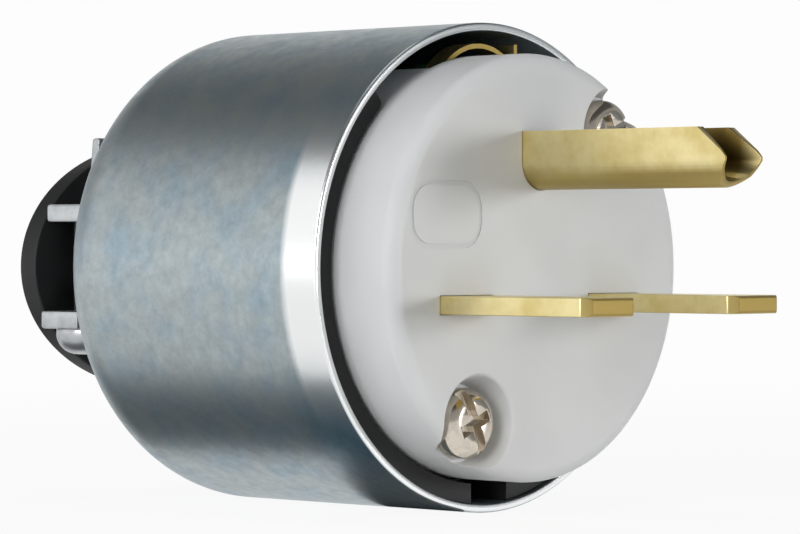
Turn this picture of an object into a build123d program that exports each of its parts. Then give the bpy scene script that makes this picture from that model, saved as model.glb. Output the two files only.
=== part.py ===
from build123d import *
from math import acos, asin, cos, degrees, hypot, radians, sin, sqrt
import os

# Armored plug, 15 A 250 V: two blades in line and a grounding pin above them.
# +X runs along the plug towards the blades, +Z towards the grounding pin.
# The origin is on the shell's axis, in the plane of the mating face. Millimetres.

# Contacts: the standard's sizes
blade_spacing = 18.24
blade_width = 6.35
blade_thickness = 1.52
blade_length = 15.9
blade_corner = 0.8
blade_bevel = 0.35
blade_drop = 2.97          # blade line below the axis
pin_offset = 11.89         # pin centre above the blade line
pin_width = 4.75
pin_wall = 0.95
pin_length = 21.7
pin_side_rise = 2.5        # straight sides above the pin's centre
pin_tip_setback = 3.4      # top corner of the tip, behind its nose
pin_heel_setback = 3.4     # bottom of the tip, behind its nose
pin_nose_drop = 0.26       # nose below the pin's centre
pin_heel_slope = 0.3
pin_shoulder_setback = 0.3
pin_shoulder_drop = 1.67   # end of the tip's sloping top, below the pin's top
pin_tip_round = 0.35       # coined edge round the outside of the tip

# Shell: one drawn steel cup
shell_wall = 1.0
shell_length = 33.8
shell_shoulder = 6.3
mouth_setback = 5.9        # mouth behind the mating face
mouth_outer_edge = 0.6
mouth_inner_edge = 0.15

# Front body: moulded nylon
body_diameter = 36.0
body_depth = 17.0
body_edge = 0.9
key_width = 1.6
key_near_angle = 127.3
key_far_angle = 22.0
key_inset = 1.5            # keys behind the shell's mouth
key_clearance = 0.2
tower_radius = 3.3
tower_clearance = 0.2
pocket_depth = 2.6
pocket_clearance = 0.3     # round the screw's head at the pocket's floor
pocket_flare = 0.85        # wider at the face than at the floor
slot_clearance = 0.1
mark_width = 8.15          # faint outline of a mould insert on the face
mark_height = 5.15
mark_corner = 1.9
mark_groove = 0.4
mark_depth = 0.12
mark_center = (-11.4, 4.55)

# Fibre liner between the shell and the live terminals
liner_wall = 1.2
liner_body_gap = 0.4
liner_shell_gap = 0.2
liner_inset = 0.6          # liner behind the shell's mouth
liner_end_gap = 6.0        # back of the liner, ahead of the shell's shoulder
liner_key_gap = 0.75
liner_notch_width = 4.4
liner_notch_depth = 5.0
liner_notch_shift = 0.5

# Line terminals, with their screws pointing sideways
terminal_wall = 1.0
terminal_height = 8.0
terminal_length = 8.1
terminal_end_gap = 0.4     # terminals stop short of the body's back
tang_length = 1.4          # blade inside the terminal well
well_clearance = 0.3
well_side_gap = 0.6
terminal_head_radius = 3.0
terminal_head_height = 2.0
terminal_head_gap = 1.1    # screw head to the liner
terminal_shank_radius = 1.7
terminal_screw_length = 7.2
terminal_slot_width = 0.95
terminal_slot_depth = 1.0
wire_clamp_size = 7.0
wire_clamp_wall = 1.2
wire_clamp_gap = 0.15
thread_clearance = 0.1

# Grounding terminal on top, and the strap that bonds it to the shell
ground_plate_wall = 0.9
ground_plate_width = 7.0
ground_plate_length = 8.6
ground_web_wall = 1.0
ground_head_radius = 3.2
ground_head_gap = 2.2      # screw head to the shell
strap_wall = 0.4
strap_setback = 1.0        # strap behind the shell's mouth
strap_leg_gap = 0.9
strap_width = 2.0
strap_tab_end = 3.5        # tab behind the ground screw
strap_clearance = 0.15
strap_side_gap = 0.4
bow_radius = 6.0           # spring bow beside the strap's leg
bow_shift = 0.2
bow_clearance = 0.75       # top of the bow to the shell
bow_leg_gap = 0.2

# Assembly screws through the face
face_screw_angles = (239.3, 50.1)
face_slot_angles = (70.0, 25.0)
face_head_radius = 2.95
face_head_height = 2.2
face_head_crown = 1.3
face_shank_radius = 1.7
face_hole_clearance = 0.25
face_screw_end = 2.0       # thread end behind the yoke
face_slot_width = 0.95
face_slot_depth = 1.0
face_cross_length = 3.4

# Fibre barrier behind the body
barrier_wall = 1.6
barrier_clearance = 0.8
wire_notch_width = 8.0
wire_notch_floor = 11.0
wire_notch_angles = (0, 90, 180)

# Steel yoke inside the shell's back, which the assembly screws pull on
yoke_wall = 1.2
yoke_width = 5.6
yoke_height = 8.1
yoke_ear_edge = 2.5        # ear past the screw's axis
yoke_clearance = 0.3
tower_gap = 0.05

# Cord collar
cord_bore_radius = 4.6
collar_wall = 1.3
collar_clearance = 0.3
collar_flange_width = 32.4
collar_flange_height = 22.6
collar_flange_wall = 2.1
collar_flange_edge = 0.2
collar_lip_reach = 2.6
collar_lip_wall = 2.0

# Cord clamp: a bracket riveted to the shell's back, a strap and two screws
clamp_wall = 1.6
clamp_gap = 7.9
clamp_arch_clearance = 0.1
clamp_arch_blend = 1.2
bracket_length = 29.9
bracket_leg = 6.5
ear_wall = 1.0
ear_rivet_gap = 0.2
ear_rivet_top = 1.4
ear_taper = 0.6
ear_corner_drop = 0.9
bar_overhang = 0.7         # lower bar past the bracket, at each end
bar_width = 5.0
bar_hole_clearance = 0.3
clamp_flange_gap = 0.1
clamp_screw_edge = 2.65    # screw axis from the bracket's end
clamp_screw_setback = 3.5  # screw axis behind the shell's back
clamp_head_radius = 3.1
clamp_head_height = 2.3
clamp_head_crown = 1.1
clamp_shank_radius = 1.5
clamp_screw_sink = 0.2     # thread end below the bracket's top
clamp_slot_width = 0.9
clamp_slot_depth = 0.9
rivet_angle = 42.0
rivet_clearance = 0.2
rivet_radius = 1.5
rivet_head_radius = 1.9
rivet_head_height = 1.1
rivet_crown = 0.6

# Places worked out from the sizes above: shell, body and liner
body_radius = body_diameter / 2
body_back_x = -body_depth
liner_inner = body_radius + liner_body_gap
liner_outer = liner_inner + liner_wall
shell_inner = liner_outer + liner_shell_gap
shell_radius = shell_inner + shell_wall
mouth_x = -mouth_setback
back_x = mouth_x - shell_length
back_inside_x = back_x + shell_wall
key_x = mouth_x - key_inset
liner_front_x = mouth_x - liner_inset
liner_length = liner_front_x - back_x - shell_shoulder - liner_end_gap

# Contacts and their terminals
blade_y = blade_spacing / 2
blade_z = -blade_drop
blade_inner_y = blade_y - blade_width / 2
pin_z = blade_z + pin_offset
pin_radius = pin_width / 2
pin_top = pin_z + pin_side_rise
terminal_back_x = body_back_x + terminal_end_gap
terminal_x = terminal_back_x + terminal_length
terminal_screw_x = terminal_back_x + terminal_length / 2
tang_back_x = terminal_x - tang_length
well_x = terminal_x + well_clearance
well_height = terminal_height + 2 * well_side_gap
terminal_head_side = sqrt((liner_inner - terminal_head_gap) ** 2 - (blade_drop + terminal_head_radius) ** 2)
terminal_seat_y = terminal_head_side - terminal_head_height
wire_clamp_y = terminal_seat_y - wire_clamp_wall
terminal_side = wire_clamp_y - wire_clamp_gap
well_floor = terminal_side - terminal_wall - well_clearance

# Grounding terminal and strap
ground_head_top = sqrt((shell_inner - ground_head_gap) ** 2 - ground_head_radius**2)
ground_seat_z = ground_head_top - terminal_head_height
ground_tab_z = ground_seat_z - strap_wall
ground_clamp_z = ground_tab_z - wire_clamp_wall
ground_plate_top = ground_clamp_z - wire_clamp_gap
ground_plate_bottom = ground_plate_top - ground_plate_wall
ground_web_x = terminal_back_x + ground_plate_length
ground_screw_x = terminal_back_x + ground_plate_length / 2
strap_x = mouth_x - strap_setback
strap_leg_y = ground_head_radius + strap_leg_gap + strap_wall
strap_leg_top = sqrt((shell_inner - strap_clearance) ** 2 - strap_leg_y**2)
strap_tab_length = strap_x - ground_screw_x + strap_tab_end
bow_y = -bow_shift
bow_z = shell_inner - bow_clearance - bow_radius
bow_start = degrees(acos((strap_leg_y - strap_wall - bow_leg_gap - bow_y) / bow_radius))
bow_end = 180 - degrees(asin((ground_tab_z - bow_z) / bow_radius))
bow_foot_y = bow_y + bow_radius * cos(radians(bow_end))
ground_well_x = strap_x + well_clearance
ground_well_floor = ground_plate_bottom - well_clearance
ground_well_width = 2 * (bow_radius + bow_shift + strap_side_gap)

# Yoke and assembly screws
collar_neck_radius = cord_bore_radius + collar_wall
collar_hole_radius = collar_neck_radius + collar_clearance
collar_lip_radius = collar_neck_radius + collar_lip_reach
yoke_radius = collar_lip_radius + yoke_clearance + yoke_wall
yoke_front_x = back_inside_x + yoke_wall
ear_front_x = back_inside_x + yoke_height
tower_end_x = ear_front_x + tower_gap
tower_place = liner_inner - tower_radius - tower_clearance
face_screws_at = [
    (tower_place * cos(radians(angle)), tower_place * sin(radians(angle))) for angle in face_screw_angles
]
head_seat_x = -pocket_depth
pocket_radius = face_head_radius + pocket_clearance
face_screw_length = head_seat_x - ear_front_x + yoke_wall + face_screw_end

# Cord clamp
arch_inner = collar_neck_radius + clamp_arch_clearance
arch_outer = arch_inner + clamp_wall
clamp_half_gap = clamp_gap / 2
clamp_seat = clamp_half_gap + clamp_wall
bracket_end_x = back_x - bracket_leg
flange_front_x = bracket_end_x - clamp_flange_gap
flange_back_x = flange_front_x - collar_flange_wall
bar_length = bracket_length + 2 * bar_overhang
clamp_screw_x = back_x - clamp_screw_setback
clamp_screw_spacing = bracket_length - 2 * clamp_screw_edge
clamp_shank_length = clamp_gap + 2 * clamp_wall - clamp_screw_sink
rivet_place = yoke_radius + rivet_head_radius + rivet_clearance
rivet_y = rivet_place * cos(radians(rivet_angle))
rivet_z = rivet_place * sin(radians(rivet_angle))
rivet_points = [(-rivet_y, rivet_z), (rivet_y, rivet_z)]
ear_inner = rivet_y - rivet_head_radius - ear_rivet_gap
ear_outer = bracket_length / 2
ear_top = rivet_z + rivet_head_radius + ear_rivet_top

os.makedirs("parts", exist_ok=True)


# Shell, with the cord hole and rivet holes in its back
with BuildPart() as shell:
    with BuildSketch(Plane.XY) as outer_section:
        with Locations((back_x, 0)):
            Rectangle(shell_length, shell_radius, align=Align.MIN)
        fillet(outer_section.vertices().group_by(Axis.X)[0].sort_by(Axis.Y)[-1], shell_shoulder)
    revolve(axis=Axis.X)
    with BuildSketch(Plane.XY) as inner_section:
        with Locations((back_inside_x, 0)):
            Rectangle(shell_length, shell_inner, align=Align.MIN)
        inner_corner = inner_section.vertices().group_by(Axis.X)[0].sort_by(Axis.Y)[-1]
        fillet(inner_corner, shell_shoulder - shell_wall)
    revolve(axis=Axis.X, mode=Mode.SUBTRACT)
    with BuildSketch(Plane.YZ.offset(back_x)):
        Circle(collar_hole_radius)
        with Locations(*rivet_points):
            Circle(rivet_radius)
    extrude(amount=2 * shell_wall, both=True, mode=Mode.SUBTRACT)
    mouth_edges = shell.edges().filter_by(GeomType.CIRCLE).group_by(Axis.X)[-1].sort_by(SortBy.RADIUS)
    fillet(mouth_edges[-1], mouth_outer_edge)
    fillet(mouth_edges[0], mouth_inner_edge)

# Fibre liner: a sheet rolled into a C, open at the top, notched at the bottom
key_half_angle = degrees((key_width / 2 + liner_key_gap) / liner_inner)
liner_start = key_near_angle + key_half_angle
liner_arc = 360 + key_far_angle - key_half_angle - liner_start
with BuildPart() as insulating_liner:
    with BuildSketch(Plane.XY.rotated((liner_start, 0, 0))):
        with Locations((liner_front_x, liner_inner)):
            Rectangle(liner_length, liner_wall, align=(Align.MAX, Align.MIN))
    revolve(axis=Axis.X, revolution_arc=liner_arc)
    with Locations((liner_front_x, liner_notch_shift, -liner_outer)):
        Box(2 * liner_notch_depth, liner_notch_width, 4 * liner_wall, mode=Mode.SUBTRACT)

# Front body, with its keys, screw towers, contact slots and terminal wells
with BuildPart() as front_body:
    with BuildSketch(Plane.XY):
        with Locations((body_back_x, 0)):
            Rectangle(body_depth, body_radius, align=Align.MIN)
    revolve(axis=Axis.X)
    face_edge = front_body.edges().filter_by(GeomType.CIRCLE).group_by(Axis.X)[-1]
    fillet(face_edge, body_edge)
    with BuildSketch(Plane.YZ.offset(key_x)):
        for key_angle in (key_near_angle, key_far_angle):
            with Locations(Location((0, 0, 0), (0, 0, key_angle))):
                Rectangle(shell_inner - key_clearance, key_width, align=(Align.MIN, Align.CENTER))
    extrude(amount=body_back_x - key_x)
    with BuildSketch(Plane.YZ.offset(body_back_x)):
        with Locations(*face_screws_at):
            Circle(tower_radius)
    extrude(amount=tower_end_x - body_back_x)
    for screw_y, screw_z in face_screws_at:
        with Locations(Location((head_seat_x, screw_y, screw_z), (0, 90, 0))):
            Cone(
                pocket_radius,
                pocket_radius + pocket_flare,
                pocket_depth,
                align=(Align.CENTER, Align.CENTER, Align.MIN),
                mode=Mode.SUBTRACT,
            )
    with BuildSketch(Plane.YZ):
        with Locations(*face_screws_at):
            Circle(face_shank_radius + face_hole_clearance)
    extrude(amount=tower_end_x, mode=Mode.SUBTRACT)
    # Slots for the blades, and for the round-bottomed pin
    with BuildSketch(Plane.YZ):
        with Locations((-blade_y, blade_z), (blade_y, blade_z)):
            Rectangle(blade_width + 2 * slot_clearance, blade_thickness + 2 * slot_clearance)
    extrude(amount=tang_back_x - well_clearance, mode=Mode.SUBTRACT)
    with BuildSketch(Plane.YZ):
        with Locations((0, pin_z)):
            Circle(pin_radius + slot_clearance)
            Rectangle(
                pin_width + 2 * slot_clearance,
                pin_side_rise + slot_clearance,
                align=(Align.CENTER, Align.MIN),
            )
    extrude(amount=ground_web_x - ground_web_wall - well_clearance, mode=Mode.SUBTRACT)
    # Side wells for the line terminals, with reliefs for the tangs and the ends of the screws
    for side in (-1, 1):
        outward = Align.MIN if side > 0 else Align.MAX
        with Locations((well_x, side * well_floor, blade_z)):
            Box(
                body_depth,
                body_radius,
                well_height,
                align=(Align.MAX, outward, Align.CENTER),
                mode=Mode.SUBTRACT,
            )
        with Locations((well_x, side * (blade_inner_y - slot_clearance), blade_z)):
            Box(
                well_x - tang_back_x + well_clearance,
                body_radius,
                blade_thickness + 2 * slot_clearance,
                align=(Align.MAX, outward, Align.CENTER),
                mode=Mode.SUBTRACT,
            )
        with Locations(Location((terminal_screw_x, side * terminal_seat_y, blade_z), (side * 90, 0, 0))):
            Cylinder(
                terminal_shank_radius + well_clearance,
                terminal_screw_length + well_clearance,
                align=(Align.CENTER, Align.CENTER, Align.MIN),
                mode=Mode.SUBTRACT,
            )
    # Top well for the grounding terminal, with room for its web and screw
    with Locations((ground_well_x, 0, ground_well_floor)):
        Box(
            body_depth,
            ground_well_width,
            body_radius,
            align=(Align.MAX, Align.CENTER, Align.MIN),
            mode=Mode.SUBTRACT,
        )
    with Locations((ground_web_x + well_clearance, 0, pin_z)):
        Box(
            ground_web_wall + 2 * well_clearance,
            pin_width + 2 * slot_clearance,
            body_radius,
            align=(Align.MAX, Align.CENTER, Align.MIN),
            mode=Mode.SUBTRACT,
        )
    with Locations((ground_screw_x, 0, ground_seat_z)):
        Cylinder(
            terminal_shank_radius + well_clearance,
            terminal_screw_length + well_clearance,
            align=(Align.CENTER, Align.CENTER, Align.MAX),
            mode=Mode.SUBTRACT,
        )
    # Faint outline of the mould insert
    with BuildSketch(Plane.YZ):
        with Locations(mark_center):
            RectangleRounded(mark_width, mark_height, mark_corner)
            RectangleRounded(
                mark_width - 2 * mark_groove,
                mark_height - 2 * mark_groove,
                mark_corner - mark_groove,
                mode=Mode.SUBTRACT,
            )
    extrude(amount=-mark_depth, mode=Mode.SUBTRACT)

# Fibre barrier between the terminals and the wiring space
with BuildPart() as rear_barrier:
    barrier_radius = liner_inner - barrier_clearance
    with BuildSketch(Plane.YZ.offset(body_back_x)):
        Circle(barrier_radius)
        with Locations(*face_screws_at):
            Circle(tower_radius + tower_clearance, mode=Mode.SUBTRACT)
        for notch_angle in wire_notch_angles:
            with Locations(Location((0, 0, 0), (0, 0, notch_angle))):
                with Locations((wire_notch_floor, 0)):
                    Rectangle(
                        barrier_radius,
                        wire_notch_width,
                        align=(Align.MIN, Align.CENTER),
                        mode=Mode.SUBTRACT,
                    )
    extrude(amount=-barrier_wall)


def line_blade(side):
    """Blade of one line contact, with a tang to the terminal plate at its outer edge."""
    outward = Align.MIN if side > 0 else Align.MAX
    with BuildPart() as blade:
        with BuildSketch(Plane.XY.offset(blade_z)):
            with Locations((terminal_x, side * blade_y)):
                Rectangle(blade_length - terminal_x, blade_width, align=(Align.MIN, Align.CENTER))
        extrude(amount=blade_thickness / 2, both=True)
        tip_corners = blade.edges().filter_by(Axis.Z).group_by(Axis.X)[-1]
        chamfer(tip_corners, blade_corner)
        nose = blade.faces().sort_by(Axis.X)[-1]
        chamfer(nose.edges().filter_by(Axis.Y), blade_bevel)
        with Locations((terminal_x, side * blade_inner_y, blade_z)):
            Box(
                tang_length,
                terminal_side - blade_inner_y,
                blade_thickness,
                align=(Align.MAX, outward, Align.CENTER),
            )
        with Locations((terminal_x, side * (terminal_side - terminal_wall), blade_z)):
            Box(
                terminal_length,
                terminal_wall,
                terminal_height,
                align=(Align.MAX, outward, Align.CENTER),
            )
        with Locations(Location((terminal_screw_x, side * terminal_side, blade_z), (90, 0, 0))):
            Cylinder(terminal_shank_radius + thread_clearance, 4 * terminal_wall, mode=Mode.SUBTRACT)
    return blade.part


line_blade_near = line_blade(-1)
line_blade_far = line_blade(1)


def terminal_screw(head_radius, seat):
    """Binding-head terminal screw, head outward along the seat's own Z."""
    with BuildPart() as screw:
        with Locations(seat):
            Cylinder(
                head_radius, terminal_head_height, align=(Align.CENTER, Align.CENTER, Align.MIN)
            )
            Cylinder(
                terminal_shank_radius,
                terminal_screw_length,
                align=(Align.CENTER, Align.CENTER, Align.MAX),
            )
            with Locations((0, 0, terminal_head_height)):
                Box(2 * head_radius, terminal_slot_width, 2 * terminal_slot_depth, mode=Mode.SUBTRACT)
    return screw.part


line_screw_solids = [
    terminal_screw(
        terminal_head_radius,
        Location((terminal_screw_x, side * terminal_seat_y, blade_z), (-side * 90, 0, 0)),
    )
    for side in (-1, 1)
]
with BuildPart() as line_terminal_screws:
    add(line_screw_solids)

ground_terminal_screw = terminal_screw(
    ground_head_radius, Location((ground_screw_x, 0, ground_seat_z))
)


def wire_clamp(seat):
    """Saddle plate that a terminal screw presses on the bare wire."""
    with BuildPart() as clamp:
        with Locations(seat):
            Box(
                wire_clamp_size,
                wire_clamp_size,
                wire_clamp_wall,
                align=(Align.CENTER, Align.CENTER, Align.MIN),
            )
            Cylinder(
                terminal_shank_radius + thread_clearance, 4 * wire_clamp_wall, mode=Mode.SUBTRACT
            )
    return clamp.part


line_clamp_near = wire_clamp(Location((terminal_screw_x, -wire_clamp_y, blade_z), (90, 0, 0)))
line_clamp_far = wire_clamp(Location((terminal_screw_x, wire_clamp_y, blade_z), (-90, 0, 0)))
ground_clamp = wire_clamp(Location((ground_screw_x, 0, ground_clamp_z)))

# Grounding pin: brass folded into a trough, open at the top, with a bullet-shaped tip
with BuildPart() as ground_pin:
    with BuildSketch(Plane.YZ.offset(ground_web_x)):
        with Locations((0, pin_z)):
            Circle(pin_radius)
            Rectangle(pin_width, pin_side_rise, align=(Align.CENTER, Align.MIN))
            Circle(pin_radius - pin_wall, mode=Mode.SUBTRACT)
            Rectangle(
                pin_width - 2 * pin_wall,
                pin_side_rise,
                align=(Align.CENTER, Align.MIN),
                mode=Mode.SUBTRACT,
            )
    extrude(amount=pin_length - ground_web_x)
    with BuildSketch(Plane.XZ):
        with BuildLine():
            heel_point = (pin_length - pin_heel_setback, pin_z - pin_radius)
            nose_point = (pin_length, pin_z - pin_nose_drop)
            shoulder_point = (pin_length - pin_shoulder_setback, pin_top - pin_shoulder_drop)
            top_point = (pin_length - pin_tip_setback, pin_top)
            shoulder_run = pin_shoulder_setback - pin_tip_setback
            Spline(heel_point, nose_point, tangents=((1, pin_heel_slope), (0, 1)))
            Spline(nose_point, shoulder_point, tangents=((0, 1), (shoulder_run, pin_shoulder_drop)))
            Polyline(
                shoulder_point,
                top_point,
                (top_point[0], pin_top + pin_width),
                (pin_length + pin_width, pin_top + pin_width),
                (pin_length + pin_width, pin_z - pin_width),
                (heel_point[0], pin_z - pin_width),
                heel_point,
            )
        make_face()
    extrude(amount=pin_width, both=True, mode=Mode.SUBTRACT)
    tip_edges = ground_pin.edges().filter_by(lambda edge: (edge @ 0).X + (edge @ 1).X > 2 * top_point[0])
    outer_tip = tip_edges.filter_by(
        lambda edge: hypot((edge @ 0.5).Y, min((edge @ 0.5).Z - pin_z, 0)) > pin_radius - pin_wall / 4
    )
    fillet(outer_tip, pin_tip_round)
    # Web and plate of its terminal
    with Locations((ground_web_x, 0, pin_z)):
        Box(
            ground_web_wall,
            pin_width,
            ground_plate_top - pin_z,
            align=(Align.MAX, Align.CENTER, Align.MIN),
        )
    with Locations((ground_web_x, 0, ground_plate_bottom)):
        Box(
            ground_plate_length,
            ground_plate_width,
            ground_plate_wall,
            align=(Align.MAX, Align.CENTER, Align.MIN),
        )
    with Locations((ground_screw_x, 0, ground_plate_top)):
        Cylinder(terminal_shank_radius + thread_clearance, 4 * ground_plate_wall, mode=Mode.SUBTRACT)

# Bonding strap: a tab under the ground screw, a leg that bears on the shell and a spring bow
with BuildPart() as ground_strap:
    with BuildSketch(Plane.YZ.offset(strap_x)):
        with BuildLine():
            outer_bow = CenterArc((bow_y, bow_z), bow_radius, bow_start, bow_end - bow_start)
            inner_bow = CenterArc((bow_y, bow_z), bow_radius - strap_wall, bow_start, bow_end - bow_start)
            Line(outer_bow @ 0, inner_bow @ 0)
            Line(outer_bow @ 1, inner_bow @ 1)
        make_face()
        with Locations((strap_leg_y, ground_tab_z)):
            Rectangle(strap_wall, strap_leg_top - ground_tab_z, align=(Align.MAX, Align.MIN))
            Rectangle(strap_leg_y - bow_foot_y, strap_wall, align=(Align.MAX, Align.MIN))
    extrude(amount=-strap_width)
    with BuildSketch(Plane.XY.offset(ground_tab_z)):
        with Locations((strap_x, -ground_head_radius)):
            Rectangle(
                strap_tab_length, strap_leg_y + ground_head_radius, align=(Align.MAX, Align.MIN)
            )
        with Locations((ground_screw_x, 0)):
            Circle(terminal_shank_radius + thread_clearance, mode=Mode.SUBTRACT)
    extrude(amount=strap_wall)

# Assembly screws: pan heads with a slot and a cross, in the pockets of the face
with BuildPart() as face_screws:
    for (screw_y, screw_z), slot_angle in zip(face_screws_at, face_slot_angles):
        with Locations(Location((head_seat_x, screw_y, screw_z), (0, 90, 0))):
            head = Cylinder(
                face_head_radius, face_head_height, align=(Align.CENTER, Align.CENTER, Align.MIN)
            )
        fillet(head.edges().filter_by(GeomType.CIRCLE).sort_by(Axis.X)[-1], face_head_crown)
        with Locations(Location((head_seat_x, screw_y, screw_z), (0, 90, 0))):
            Cylinder(
                face_shank_radius, face_screw_length, align=(Align.CENTER, Align.CENTER, Align.MAX)
            )
        head_top = Location((head_seat_x + face_head_height, screw_y, screw_z), (slot_angle, 0, 0))
        with Locations(head_top):
            Box(2 * face_slot_depth, 2 * face_head_radius, face_slot_width, mode=Mode.SUBTRACT)
            Box(2 * face_slot_depth, face_slot_width, face_cross_length, mode=Mode.SUBTRACT)

# Yoke: a ring on the inside of the shell's back, with two arms and threaded ears
with BuildPart() as screw_yoke:
    with BuildSketch(Plane.YZ.offset(back_inside_x)):
        Circle(yoke_radius)
        Circle(collar_hole_radius, mode=Mode.SUBTRACT)
    extrude(amount=yoke_wall)
    for arm_angle in face_screw_angles:
        with BuildSketch(Plane.XY.rotated((arm_angle, 0, 0))):
            with Locations((back_inside_x, yoke_radius)):
                Rectangle(yoke_height, yoke_wall, align=(Align.MIN, Align.MAX))
            with Locations((ear_front_x, yoke_radius - yoke_wall)):
                Rectangle(
                    yoke_wall,
                    tower_place + yoke_ear_edge - yoke_radius + yoke_wall,
                    align=(Align.MAX, Align.MIN),
                )
        extrude(amount=yoke_width / 2, both=True)
    with BuildSketch(Plane.YZ.offset(ear_front_x)):
        with Locations(*face_screws_at):
            Circle(face_shank_radius + thread_clearance)
    extrude(amount=-2 * yoke_wall, mode=Mode.SUBTRACT)

# Cord collar: soft moulding with an oval flange behind the clamp and a lip inside the shell
with BuildPart() as cord_collar:
    with BuildSketch(Plane.YZ.offset(flange_front_x)):
        Ellipse(collar_flange_width / 2, collar_flange_height / 2)
    extrude(amount=-collar_flange_wall)
    fillet(cord_collar.edges(), collar_flange_edge)
    with BuildSketch(Plane.YZ.offset(flange_front_x)):
        Circle(collar_neck_radius)
    extrude(amount=yoke_front_x - flange_front_x)
    with BuildSketch(Plane.YZ.offset(yoke_front_x)):
        Circle(collar_lip_radius)
    extrude(amount=collar_lip_wall)
    with BuildSketch(Plane.YZ.offset(flange_back_x)):
        Circle(cord_bore_radius)
    extrude(amount=yoke_front_x + collar_lip_wall - flange_back_x, mode=Mode.SUBTRACT)


def clamp_bar(length, width, up):
    """Flat steel bar arched over the collar's neck, above it or below it."""
    with BuildPart() as bar:
        with BuildSketch(Plane.YZ.offset(bracket_end_x)) as section:
            Circle(arch_outer)
            with Locations((0, clamp_half_gap)):
                Rectangle(length, clamp_wall, align=(Align.CENTER, Align.MIN))
            Circle(arch_inner, mode=Mode.SUBTRACT)
            with Locations((0, clamp_half_gap)):
                Rectangle(length, 2 * arch_outer, align=(Align.CENTER, Align.MAX), mode=Mode.SUBTRACT)
            arch_corners = section.vertices().filter_by_position(Axis.X, -arch_outer, arch_outer)
            fillet(arch_corners.group_by(Axis.Y)[-1], clamp_arch_blend)
            if not up:
                mirror(about=Plane.XZ, mode=Mode.REPLACE)
        extrude(amount=width)
    return bar.part


# Clamp bracket: the upper bar, with two ears turned up against the shell's back
with BuildPart() as clamp_bracket:
    add(clamp_bar(bracket_length, bracket_leg, True))
    with BuildSketch(Plane.YZ.offset(back_x)):
        ear_points = (
            (ear_inner, clamp_half_gap),
            (ear_outer, clamp_half_gap),
            (ear_outer, clamp_seat),
            (ear_outer - ear_taper, ear_top),
            (ear_inner + ear_corner_drop, ear_top),
            (ear_inner, ear_top - ear_corner_drop),
        )
        for side in (-1, 1):
            with BuildLine():
                Polyline(*[(side * y, z) for y, z in ear_points], close=True)
            make_face()
        with Locations(*rivet_points):
            Circle(rivet_radius, mode=Mode.SUBTRACT)
    extrude(amount=-ear_wall)
    with BuildSketch(Plane.XY.offset(clamp_half_gap)):
        with Locations((clamp_screw_x, 0)):
            with GridLocations(0, clamp_screw_spacing, 1, 2):
                Circle(clamp_shank_radius + thread_clearance)
    extrude(amount=clamp_wall, mode=Mode.SUBTRACT)

# Clamp strap: the lower bar, which the two screws draw up
with BuildPart() as clamp_strap:
    add(clamp_bar(bar_length, bar_width, False))
    with BuildSketch(Plane.XY.offset(-clamp_half_gap)):
        with Locations((clamp_screw_x, 0)):
            with GridLocations(0, clamp_screw_spacing, 1, 2):
                Circle(clamp_shank_radius + bar_hole_clearance)
    extrude(amount=-clamp_wall, mode=Mode.SUBTRACT)

# Clamp screws, heads below the strap
with BuildPart() as clamp_screws:
    for side in (-1, 1):
        seat = (clamp_screw_x, side * clamp_screw_spacing / 2, -clamp_seat)
        with Locations(seat):
            head = Cylinder(
                clamp_head_radius, clamp_head_height, align=(Align.CENTER, Align.CENTER, Align.MAX)
            )
        fillet(head.edges().filter_by(GeomType.CIRCLE).sort_by(Axis.Z)[0], clamp_head_crown)
        with Locations(seat):
            Cylinder(
                clamp_shank_radius, clamp_shank_length, align=(Align.CENTER, Align.CENTER, Align.MIN)
            )
            with Locations((0, 0, -clamp_head_height)):
                Box(2 * clamp_head_radius, clamp_slot_width, 2 * clamp_slot_depth, mode=Mode.SUBTRACT)

# Rivets through the bracket's ears and the shell's back
with BuildPart() as bracket_rivets:
    for point_y, point_z in rivet_points:
        with Locations(Location((back_x - ear_wall, point_y, point_z), (0, 90, 0))):
            Cylinder(rivet_radius, ear_wall + shell_wall, align=(Align.CENTER, Align.CENTER, Align.MIN))
            outer_head = Cylinder(
                rivet_head_radius, rivet_head_height, align=(Align.CENTER, Align.CENTER, Align.MAX)
            )
        fillet(outer_head.edges().filter_by(GeomType.CIRCLE).sort_by(Axis.X)[0], rivet_crown)
        with Locations(Location((back_inside_x, point_y, point_z), (0, 90, 0))):
            inner_head = Cylinder(
                rivet_head_radius, rivet_head_height, align=(Align.CENTER, Align.CENTER, Align.MIN)
            )
        fillet(inner_head.edges().filter_by(GeomType.CIRCLE).sort_by(Axis.X)[-1], rivet_crown)

pieces = {
    "shell": shell.part,
    "insulating_liner": insulating_liner.part,
    "front_body": front_body.part,
    "rear_barrier": rear_barrier.part,
    "line_blade_near": line_blade_near,
    "line_blade_far": line_blade_far,
    "line_terminal_screws": line_terminal_screws.part,
    "line_clamp_near": line_clamp_near,
    "line_clamp_far": line_clamp_far,
    "ground_pin": ground_pin.part,
    "ground_terminal_screw": ground_terminal_screw,
    "ground_clamp": ground_clamp,
    "ground_strap": ground_strap.part,
    "face_screws": face_screws.part,
    "screw_yoke": screw_yoke.part,
    "cord_collar": cord_collar.part,
    "clamp_bracket": clamp_bracket.part,
    "clamp_strap": clamp_strap.part,
    "clamp_screws": clamp_screws.part,
    "bracket_rivets": bracket_rivets.part,
}
for name, piece in pieces.items():
    piece.label = name
    export_step(piece, f"parts/{name}.step")
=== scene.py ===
from math import acos, cos, hypot, pi, radians, sin

import bmesh
import bpy
from bpy.props import FloatProperty, FloatVectorProperty, PointerProperty
from mathutils import Matrix, Vector


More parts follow.
